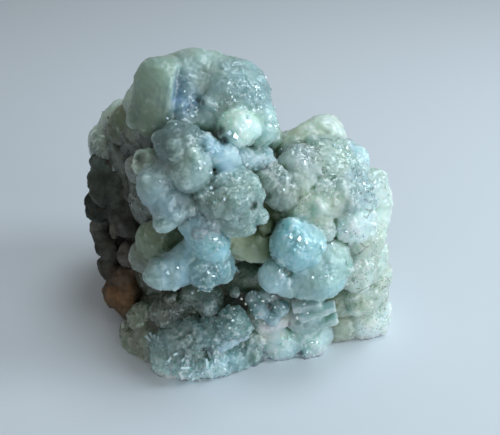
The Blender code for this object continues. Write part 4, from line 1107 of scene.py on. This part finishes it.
class Recipe(Graph):
    """Builds one material around a Principled BSDF."""

    def __init__(self, name):
        self.material = bpy.data.materials.new(name)
        self.material.use_nodes = True
        super().__init__(self.material.node_tree)
        self.shader = self.tree.nodes["Principled BSDF"]
        self.place = self.node("ShaderNodeTexCoord").outputs["Object"]

    def attribute(self, name, output="Fac"):
        return self.node("ShaderNodeAttribute", {"attribute_name": name}).outputs[output]

    def noise(self, scale, detail=3.0, roughness=0.55):
        inputs = {"Vector": self.place, "Scale": scale, "Detail": detail, "Roughness": roughness}
        return self.node("ShaderNodeTexNoise", inputs=inputs).outputs["Fac"]

    def noise_colour(self, scale):
        inputs = {"Vector": self.place, "Scale": scale}
        return self.node("ShaderNodeTexNoise", inputs=inputs).outputs["Color"]

    def cells(self, scale, vector=None, feature="F1"):
        inputs = {"Vector": vector or self.place, "Scale": scale}
        return self.node("ShaderNodeTexVoronoi", {"feature": feature}, inputs).outputs

    def fit(self, value, low, high, new_low=0.0, new_high=1.0):
        inputs = {"Value": value, "From Min": low, "From Max": high, "To Min": new_low, "To Max": new_high}
        return self.node("ShaderNodeMapRange", inputs=inputs).outputs["Result"]

    def mix(self, factor, first, second, blend="MIX"):
        made = self.node("ShaderNodeMix", {"data_type": "RGBA", "blend_type": blend})
        self.feed(made.inputs["Factor"], factor)
        for socket, value in ((made.inputs[6], first), (made.inputs[7], second)):
            self.feed(socket, (*value, 1.0) if isinstance(value, tuple) else value)
        return made.outputs[2]

    def vector(self, operation, first, second):
        made = self.node("ShaderNodeVectorMath", {"operation": operation}, {0: first, 1: second})
        return made.outputs["Vector"]

    def facets(self, normal, scale, tilt):
        """Turns the normal by its own amount in each Worley cell, so that each is one flat crystal face."""
        own = self.vector("SUBTRACT", self.cells(scale)["Color"], (0.5, 0.5, 0.5))
        turn = self.node("ShaderNodeVectorMath", {"operation": "SCALE"}, {0: own, "Scale": tilt})
        return self.vector("NORMALIZE", self.vector("ADD", normal, turn.outputs["Vector"]), (0.0, 0.0, 0.0))

    def bump(self, height, strength, distance):
        inputs = {"Height": height, "Strength": strength, "Distance": distance}
        return self.node("ShaderNodeBump", inputs=inputs).outputs["Normal"]

    def set(self, **values):
        """Sets the shader's own sockets, with underscores for the spaces in their names."""
        for name, value in values.items():
            self.shader.inputs[name.replace("_", " ")].default_value = value


# %% [markdown]
# ## Prehnite: waxy, green and full of light
# Three things make it look right. Light that enters comes out a few millimetres away, which is subsurface
# scattering. A painted shade makes hollows and creases darker and olive, from the openness and ridge stored
# on the skin, and a painted edge light makes the edges paler. And the crust sparkles, because the normal is
# turned its own way in each Worley cell and only some cells catch a lamp.

# %% The prehnite material
FROST = (0.70, 0.82, 0.84)
# colours of the painted light on edges and of the painted shade in creases and hollows
EDGE_LIGHT = (0.72, 0.84, 0.82)
CREASE_SHADE = (0.42, 0.56, 0.42)
HOLLOW_SHADE = (0.52, 0.62, 0.46)
GRAIN_BLACK = (0.04, 0.05, 0.04)
COLD, WARM = (0.96, 1.0, 1.04), (1.04, 1.0, 0.95)
WAX_ROUGHNESS = (0.37, 0.57)
FACE_ROUGHNESS = 0.10
CRYSTAL_IOR = 1.62


def prehnite_body(r, sugar):
    """The dome's own tint, clouded, drifting in hue and frosted where it is sugary."""
    drift = r.mix(r.fit(r.noise(330.0, 4.0), 0.38, 0.62), COLD, WARM)
    body = r.mix(1.0, r.attribute("tint", "Color"), drift, "MULTIPLY")
    clouded = r.mix(1.0, body, r.fit(r.noise(220.0), 0.3, 0.7, 0.86, 1.12), "MULTIPLY")
    frost = r.fit(r.noise(900.0, 4.0, 0.7), 0.52, 0.75)
    return r.mix(r.math("MULTIPLY", frost, r.math("MULTIPLY", sugar, 0.45)), clouded, FROST)


def painted_shade_and_edge_light(r, body):
    """Painted shade: darker in creases and hollows. Painted light: paler on edges."""
    ridge = r.attribute("ridge")
    crease = r.mix(1.0, body, CREASE_SHADE, "MULTIPLY")
    # painted shade in creases, painted light on edges
    creased = r.mix(r.fit(ridge, -0.30, -0.03, 0.55, 0.0), body, crease)
    edge_lit = r.mix(r.fit(ridge, 0.10, 0.34, 0.0, 0.5), creased, EDGE_LIGHT)
    # painted shade: closed-in hollows are darkened and turned olive
    hollow = r.mix(1.0, edge_lit, HOLLOW_SHADE, "MULTIPLY")
    return r.mix(r.fit(r.attribute("openness"), 0.12, 0.62), hollow, edge_lit)


def dark_marks(r):
    """How dark black grains and hair cracks make each place, 0 to 1, where there is pepper."""
    pepper = r.attribute("pepper")
    grain = r.math("LESS_THAN", r.cells(2000.0)["Distance"], 0.24)
    clustered = r.math("MULTIPLY", r.fit(r.noise(260.0, 2.0), 0.51, 0.57), pepper)
    bent = r.vector("ADD", r.place, r.vector("MULTIPLY", r.noise_colour(400.0), (0.0012, 0.0012, 0.0012)))
    crack = r.math("LESS_THAN", r.cells(230.0, bent, "DISTANCE_TO_EDGE")["Distance"], 0.022)
    cracked = r.math("MULTIPLY", crack, r.fit(r.noise(170.0, 2.0), 0.54, 0.60))
    faint = r.math("MULTIPLY", cracked, r.math("MULTIPLY", pepper, 0.6))
    return r.math("MAXIMUM", r.math("MULTIPLY", grain, clustered), faint)


def prehnite():
    r = Recipe("waxy_prehnite")
    sugar = r.attribute("sugar")
    body = painted_shade_and_edge_light(r, prehnite_body(r, sugar))
    marked = r.mix(r.math("MULTIPLY", dark_marks(r), 0.92), body, GRAIN_BLACK)
    r.feed(r.shader.inputs["Base Color"], marked)
    wax = r.fit(r.noise(350.0), 0.3, 0.7, *WAX_ROUGHNESS)
    r.feed(r.shader.inputs["Roughness"], r.fit(sugar, 0.2, 0.7, wax, FACE_ROUGHNESS))
    r.set(IOR=CRYSTAL_IOR, Specular_IOR_Level=0.7)
    r.set(Subsurface_Weight=0.9, Subsurface_Radius=(0.70, 1.0, 0.85), Subsurface_Scale=0.0046)
    r.set(Coat_Weight=0.3, Coat_Roughness=0.2, Sheen_Weight=0.22, Sheen_Roughness=0.35)
    soft = r.bump(r.noise(600.0, 4.0, 0.6), 0.25, 0.0004)
    coarse = r.facets(soft, 1700.0, r.math("MULTIPLY", sugar, 0.6))
    r.feed(r.shader.inputs["Normal"], r.facets(coarse, 3000.0, r.math("MULTIPLY", sugar, 0.7)))
    return r.material


def crystal_face():
    r = Recipe("crystal_tips")
    tint = r.mix(1.0, r.attribute("tint", "Color"), (1.05, 1.05, 1.05), "MULTIPLY")
    r.feed(r.shader.inputs["Base Color"], tint)
    r.set(Roughness=0.12, IOR=CRYSTAL_IOR)
    return r.material


waxy = prehnite()
clear_face = crystal_face()
for piece in skins.values():
    piece.data.materials.append(waxy)
print("prehnite shaded")

# %% [markdown]
# ## Old lava
# Nearly black green, with grey, tan and rusty lumps, matt, and pitted, with a painted shade darkening its
# closed-in places.

# %% The rock's material
RUST = (0.10, 0.058, 0.030)
PAINTED_CAVITY_SHADE = (0.012, 0.014, 0.010)


def lava():
    r = Recipe("host_rock")
    patch = r.fit(r.noise(320.0, 5.0, 0.65), 0.35, 0.68, 0.55, 1.75)
    patched = r.mix(1.0, r.attribute("tint", "Color"), patch, "MULTIPLY")
    rusty = r.mix(r.fit(r.noise(240.0, 4.0, 0.6), 0.60, 0.68, 0.0, 0.7), patched, RUST)
    # painted shade: closed-in places of the rock are darkened toward black
    deep = r.fit(r.attribute("openness"), 0.1, 0.6, 0.75, 0.0)
    r.feed(r.shader.inputs["Base Color"], r.mix(deep, rusty, PAINTED_CAVITY_SHADE))
    r.feed(r.shader.inputs["Roughness"], r.fit(r.noise(500.0), 0.3, 0.7, 0.45, 0.8))
    crumb = r.bump(r.noise(900.0, 6.0, 0.7), 0.7, 0.0005)
    r.feed(r.shader.inputs["Normal"], r.facets(crumb, 1400.0, 0.3))
    return r.material


rock.data.materials.append(lava())
print("rock shaded")

# %% [markdown]
# ## The crust of crystal tips
# Hundreds of tablets, each a flat block a fraction of a millimetre long, stand out of the sugary domes.
# Geometry Nodes scatter them: points on the skin, more where the sugar is, a tablet on each point, turned
# to the skin's normal and then leaned by a random amount. Realize Instances turns them into plain mesh at
# the end.

# %% The tree that scatters crystals
TABLET = (1.0, 0.6, 0.5)
TABLET_SUNK = (0.0, 0.0, -0.14)
LEAN_MOST = Vector((0.55, 0.55, math.pi))


def tip_tree():
    tree = bpy.data.node_groups.new("crystal tips", "GeometryNodeTree")
    face = tree.interface
    face.new_socket("Geometry", in_out="INPUT", socket_type="NodeSocketGeometry")
    for name, value in (("Tips per mm2", 3.0), ("Tip length", 0.62), ("Least size", 0.4)):
        face.new_socket(name, in_out="INPUT", socket_type="NodeSocketFloat").default_value = value
    face.new_socket("Seed", in_out="INPUT", socket_type="NodeSocketInt").default_value = 1
    face.new_socket("Finish", in_out="INPUT", socket_type="NodeSocketMaterial")
    face.new_socket("Geometry", in_out="OUTPUT", socket_type="NodeSocketGeometry")
    g = Graph(tree)
    given = g.node("NodeGroupInput").outputs

    named = g.node("GeometryNodeInputNamedAttribute", {"data_type": "FLOAT"}, {"Name": "tips"})
    per_m2 = g.math("MULTIPLY", given["Tips per mm2"], 1.0 / MM**2)
    density = g.math("MULTIPLY", named.outputs["Attribute"], per_m2)
    spread = {"Mesh": given["Geometry"], "Density": density, "Seed": given["Seed"]}
    points = g.node("GeometryNodeDistributePointsOnFaces", inputs=spread).outputs

    leans = {"Min": -LEAN_MOST, "Max": LEAN_MOST, "Seed": given["Seed"]}
    lean = g.node("FunctionNodeRandomValue", {"data_type": "FLOAT_VECTOR"}, leans).outputs["Value"]
    lean_turn = g.node("FunctionNodeEulerToRotation", inputs={"Euler": lean}).outputs["Rotation"]
    turns = {"Rotation": points["Rotation"], "Rotate By": lean_turn}
    turn = g.node("FunctionNodeRotateRotation", {"rotation_space": "LOCAL"}, turns).outputs["Rotation"]

    block = g.node("GeometryNodeMeshCube", inputs={"Size": TABLET}).outputs["Mesh"]
    sunk = {"Geometry": block, "Translation": TABLET_SUNK}
    tablet = g.node("GeometryNodeTransform", inputs=sunk).outputs["Geometry"]
    sizes = {2: given["Least size"], 3: 1.0}
    size = g.node("FunctionNodeRandomValue", {"data_type": "FLOAT"}, sizes).outputs[1]
    length = g.math("MULTIPLY", g.math("MULTIPLY", size, given["Tip length"]), MM)

    stand = {"Points": points["Points"], "Instance": tablet, "Rotation": turn, "Scale": length}
    standing = g.node("GeometryNodeInstanceOnPoints", inputs=stand).outputs["Instances"]
    real = g.node("GeometryNodeRealizeInstances", inputs={"Geometry": standing}).outputs["Geometry"]
    finish = {"Geometry": real, "Material": given["Finish"]}
    finished = g.node("GeometryNodeSetMaterial", inputs=finish).outputs["Geometry"]
    g.node("NodeGroupOutput", inputs={"Geometry": finished})
    return tree


def set_inputs(modifier, **values):
    """Sets a modifier's inputs by their socket identifiers."""
    for item in modifier.node_group.interface.items_tree:
        if item.in_out == "INPUT" and item.name in values:
            modifier[item.identifier] = values[item.name]


# %% Scattering them
TIPS = {"crown_and_column": 0.8, "right_mass": 0.8, "foot_and_hollows": 1.2, "sides": 0.5}
TIP_PATCH, TIP_PATCHINESS = 3.0, 0.9
TIPS_RISE, TIPS_DROP = 1.2, 0.45  # the density is the sugar times the one, less the other
UNDERSIDE, DEEP, OVERHANG = 0.5, 0.12, -0.5  # height in mm, openness, the normal's Z
FIRST_SEED = 21
tips_tree = tip_tree()


def stored(mesh, name):
    values = np.empty(len(mesh.vertices))
    mesh.attributes[name].data.foreach_get("value", values)
    return values


def scatter_tips(skin, per_mm2, seed):
    """Tips in patches of the sugary skin, and none near the underside, in deep hollows or on overhangs."""
    points = points_of(skin.data)
    sugar = stored(skin.data, "sugar") * TIPS_RISE - TIPS_DROP
    wanted = np.clip(sugar + swell(points, TIP_PATCH) * TIP_PATCHINESS, 0.0, 1.0)
    deep = stored(skin.data, "openness") < DEEP
    overhanging = normals_of(skin.data)[:, 2] < OVERHANG
    wanted[(points[:, 2] < UNDERSIDE) | deep | overhanging] = 0.0
    store(skin.data, "tips", wanted)
    grower = bpy.data.objects.new(skin.name + "_tips", skin.data.copy())
    bpy.context.scene.collection.objects.link(grower)
    modifier = grower.modifiers.new("crystal tips", "NODES")
    modifier.node_group = tips_tree
    set_inputs(modifier, **{"Tips per mm2": per_mm2, "Seed": seed, "Finish": clear_face})
    settle(grower)
    skin.data.attributes.remove(skin.data.attributes["tips"])
    print(grower.name, triangles(grower), "triangles")
    return grower


tips = []
for seed, (name, per_mm2) in enumerate(TIPS.items(), FIRST_SEED):
    tips.append(scatter_tips(skins[name], per_mm2, seed))

# %% [markdown]
# ## Crystal faces that mirror a lamp
# A few faces are big and flat enough to throw a lamp back as a white spot. Each is a small tablet, set on
# the skin where a ray from the eye meets it. Its broad face is turned half way between the eye and the
# lamp at the right, or the lamp in front for those in the hollows, which the right-hand lamp doesn't
# reach.

# %% Tablets, listed one by one
WINDOW_FACES = (
    # right, up, length, width (mm)
    (-3.4, 14.1, 1.15, 0.7), (-2.4, 13.6, 0.9, 1.25),
    (-13.8, 16.5, 0.4, 0.4), (-12.4, 15.5, 0.4, 0.3),
    (-0.4, 16.7, 0.7, 0.35), (2.7, 18.6, 0.35, 0.6), (2.0, 19.9, 0.4, 0.5), (1.5, 21.3, 0.5, 0.35),
    (-2.6, 19.5, 0.5, 0.45), (-2.2, 22.0, 0.35, 0.35), (-4.2, 24.6, 0.3, 0.3), (-2.9, 25.3, 0.4, 0.25),
    (-3.3, 20.8, 0.45, 0.35), (-0.1, 21.6, 0.35, 0.4), (-9.6, 19.4, 0.45, 0.25), (-10.4, 17.9, 0.4, 0.4),
    (-11.3, 18.6, 0.35, 0.3), (-9.0, 18.3, 0.35, 0.35), (-10.9, 21.0, 0.3, 0.45),
    (-7.7, 9.0, 0.6, 0.45), (-8.4, 8.2, 0.35, 0.35), (-6.6, 7.4, 0.4, 0.3), (-6.5, 4.9, 0.55, 0.45),
    (-4.3, 3.0, 0.35, 0.45), (-15.0, 6.0, 0.4, 0.4), (-10.0, -0.3, 0.35, 0.3),
    (-13.7, -9.2, 0.75, 0.7), (-12.0, -8.4, 0.35, 0.6),
    (-6.8, -0.9, 0.45, 0.6), (-5.8, -3.6, 0.35, 0.9), (-5.4, -5.4, 0.3, 0.4),
    (-7.0, -9.1, 0.6, 0.35), (-6.1, -9.7, 0.45, 0.5), (-5.6, -8.2, 0.35, 0.35), (-8.2, -10.4, 0.3, 0.3),
    (8.1, -3.6, 1.0, 0.6), (6.7, -3.3, 0.5, 0.4), (9.4, -4.2, 0.4, 0.45), (4.9, -8.8, 0.6, 0.25),
    (5.4, -9.6, 0.4, 0.25), (12.0, -5.0, 0.3, 0.35), (13.6, -4.4, 0.35, 0.35), (10.4, -10.0, 0.4, 0.35),
    (5.2, 11.3, 0.55, 0.35), (4.6, 9.4, 0.6, 0.6), (9.1, 9.2, 0.35, 0.6), (5.6, 4.6, 0.45, 0.35),
    (14.0, 12.1, 0.6, 0.4), (14.9, 11.6, 0.6, 0.35), (18.9, 5.6, 0.5, 0.5), (17.6, 6.6, 0.4, 0.3),
    (21.2, 2.8, 0.4, 0.35), (16.0, -2.2, 0.45, 0.7), (19.0, -3.0, 0.45, 0.45), (15.4, -1.0, 0.4, 0.4),
    (-4.6, -19.6, 0.35, 0.5), (-2.9, -17.2, 0.35, 0.45), (2.6, -23.2, 0.4, 0.3), (-9.4, -24.6, 0.6, 0.4),
    (-11.6, -24.2, 0.5, 0.4), (-7.6, -23.6, 0.45, 0.45), (-13.2, -25.4, 0.6, 0.3), (-6.4, -24.6, 0.4, 0.6),
    (8.6, -21.4, 0.4, 0.5), (9.4, -22.4, 0.6, 0.4),
)
CAVE_FACES = (
    # right, up, length, width (mm)
    (2.1, -14.0, 0.7, 0.5), (2.8, -14.8, 0.55, 0.6), (0.2, -13.8, 0.45, 0.4), (3.8, -13.1, 0.7, 0.5),
    (9.0, -14.5, 0.7, 0.65), (7.9, -16.7, 0.75, 0.6), (6.9, -12.7, 0.5, 0.25), (4.2, -15.0, 0.4, 0.4),
    (-1.4, -13.6, 0.45, 0.4), (-0.7, -14.4, 0.4, 0.45), (0.9, -14.6, 0.5, 0.4), (1.5, -13.2, 0.4, 0.4),
    (3.2, -13.8, 0.45, 0.4), (0.2, -15.4, 0.4, 0.4), (2.2, -15.8, 0.45, 0.4), (4.6, -14.2, 0.4, 0.4),
    (5.6, -14.9, 0.4, 0.5), (3.4, -16.6, 0.4, 0.4), (1.0, -16.8, 0.45, 0.35), (6.2, -16.2, 0.45, 0.4),
    (8.4, -15.4, 0.4, 0.4), (9.6, -15.9, 0.45, 0.35), (-7.0, -9.1, 0.6, 0.35), (-5.6, -8.2, 0.4, 0.4),
    (-9.6, -12.6, 0.4, 0.35), (-8.6, -12.2, 0.35, 0.4), (-2.6, -16.2, 0.4, 0.35), (-3.4, -18.4, 0.35, 0.45),
)
WHITE_BLADES = (
    # right, up, length, width (mm), turn from level (degrees)
    (-17.0, -20.2, 1.6, 0.35, 100.0), (-16.4, -19.9, 2.0, 0.4, 86.0), (-15.8, -20.2, 1.7, 0.35, 76.0),
    (-15.3, -20.4, 1.3, 0.3, 62.0),
    (-13.3, -23.4, 1.9, 0.5, 24.0), (-12.2, -22.7, 1.6, 0.45, -12.0), (-10.9, -23.5, 1.8, 0.5, 8.0),
    (-13.6, -24.9, 1.5, 0.55, -20.0), (-12.4, -25.6, 2.1, 0.5, 14.0), (-10.9, -25.1, 1.7, 0.5, -30.0),
    (-9.8, -26.0, 2.0, 0.45, 12.0), (-8.9, -24.9, 1.5, 0.5, 38.0), (-7.8, -25.6, 1.6, 0.4, 20.0),
    (-7.3, -24.2, 1.4, 0.5, 64.0), (-6.7, -22.9, 1.5, 0.4, 80.0), (-6.3, -24.9, 1.2, 0.45, -14.0),
    (-5.9, -23.7, 1.2, 0.4, 50.0), (-11.8, -24.3, 1.3, 0.4, 52.0), (-14.0, -24.1, 1.1, 0.4, 70.0),
)
TO_WINDOW = Vector((0.50, -0.50, 0.70)).normalized()
TO_FRONT = Vector((0.06, -0.82, 0.56)).normalized()
FACE_DEPTH = 0.5
FACE_SHARE = 0.85  # a face's size as a share of the spot of light that it throws
FACE_LEAN = 3.0
STANDS_OUT, STANDS_OUT_MORE = 0.06, 0.18
FACE_TINT = (0.52, 0.68, 0.72)


def bright_faces():
    bm = bmesh.new()
    rng = random.Random(SEED + 3)
    placed = [(*row, rng.uniform(0.0, 180.0), TO_WINDOW) for row in WINDOW_FACES]
    placed += [(*row, rng.uniform(0.0, 180.0), TO_FRONT) for row in CAVE_FACES]
    placed += [(*row, TO_WINDOW) for row in WHITE_BLADES]
    for right, up, length, width, turn, facing in placed:
        met = first_hit(right, up)
        if met is None:
            continue
        lean = turned((rng.uniform(-FACE_LEAN, FACE_LEAN), rng.uniform(-FACE_LEAN, FACE_LEAN), turn))
        stands_out = STANDS_OUT + STANDS_OUT_MORE * min(length, 1.0)
        middle = met[1] + facing * (stands_out - FACE_DEPTH / 2.0)
        turn_up = facing.to_track_quat("Z", "Y").to_matrix().to_4x4()
        size = (length * FACE_SHARE, width * FACE_SHARE, FACE_DEPTH)
        add_block(bm, Matrix.Translation(middle) @ turn_up @ lean, size)
    faces = new_object("bright_faces", bm)
    store(faces.data, "tint", np.tile(FACE_TINT, (len(faces.data.vertices), 1)))
    faces.data.materials.append(clear_face)
    print("bright_faces", triangles(faces), "triangles")
    return faces


mirrors = bright_faces()

# %% [markdown]
# ## Studio
# A pale floor, a pale sky and four round lamps. Two small ones, overhead and at the right, throw points
# of light off the crystal faces. A wide one at the right front lights the pale side softly, and a weak
# one in front reaches into the hollows. Nothing stands on the left, so that side stays dark.

# %% Floor and lamps
FLOOR_SIZE = 1500.0
LOOKED_AT = Vector((0.0, 0.0, 0.02))


def lamp(name, at, size, watts, colour):
    light = bpy.data.objects.new(name, bpy.data.lights.new(name, "AREA"))
    light.data.shape = "DISK"
    light.data.size = size
    light.data.energy = watts
    light.data.color = colour
    light.location = at
    light.rotation_euler = (LOOKED_AT - Vector(at)).to_track_quat("-Z", "Y").to_euler()
    bpy.context.scene.collection.objects.link(light)


floor_mesh = bmesh.new()
bmesh.ops.create_grid(floor_mesh, x_segments=1, y_segments=1, size=FLOOR_SIZE)
floor = new_object("floor", floor_mesh)
floor_look = Recipe("pale_floor")
floor_look.set(Base_Color=(0.72, 0.76, 0.82, 1.0), Roughness=0.85)
floor.data.materials.append(floor_look.material)
lamp("overhead", (0.07, 0.04, 0.32), 0.13, 0.33, (0.80, 0.93, 1.0))
lamp("right_window", (0.32, -0.02, 0.22), 0.13, 0.62, (0.80, 0.93, 1.0))
lamp("right_front", (0.36, -0.26, 0.14), 0.30, 0.52, (0.86, 0.95, 1.0))
lamp("front_fill", (0.05, -0.45, 0.22), 0.09, 0.13, (1.0, 0.99, 0.95))
world = bpy.data.worlds.new("sky")
bpy.context.scene.world = world
world.use_nodes = True
sky = world.node_tree.nodes["Background"].inputs
sky["Color"].default_value = (0.76, 0.79, 0.77, 1.0)
sky["Strength"].default_value = 0.30
bpy.context.scene.view_settings.view_transform = "Standard"

# %% [markdown]
# ## Handing over
# Every piece rides on the one body and stands for the one solid.

# %% Riding and the end
for piece in (*skins.values(), rock, *tips, mirrors):
    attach(piece, "root")
    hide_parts("prehnite")
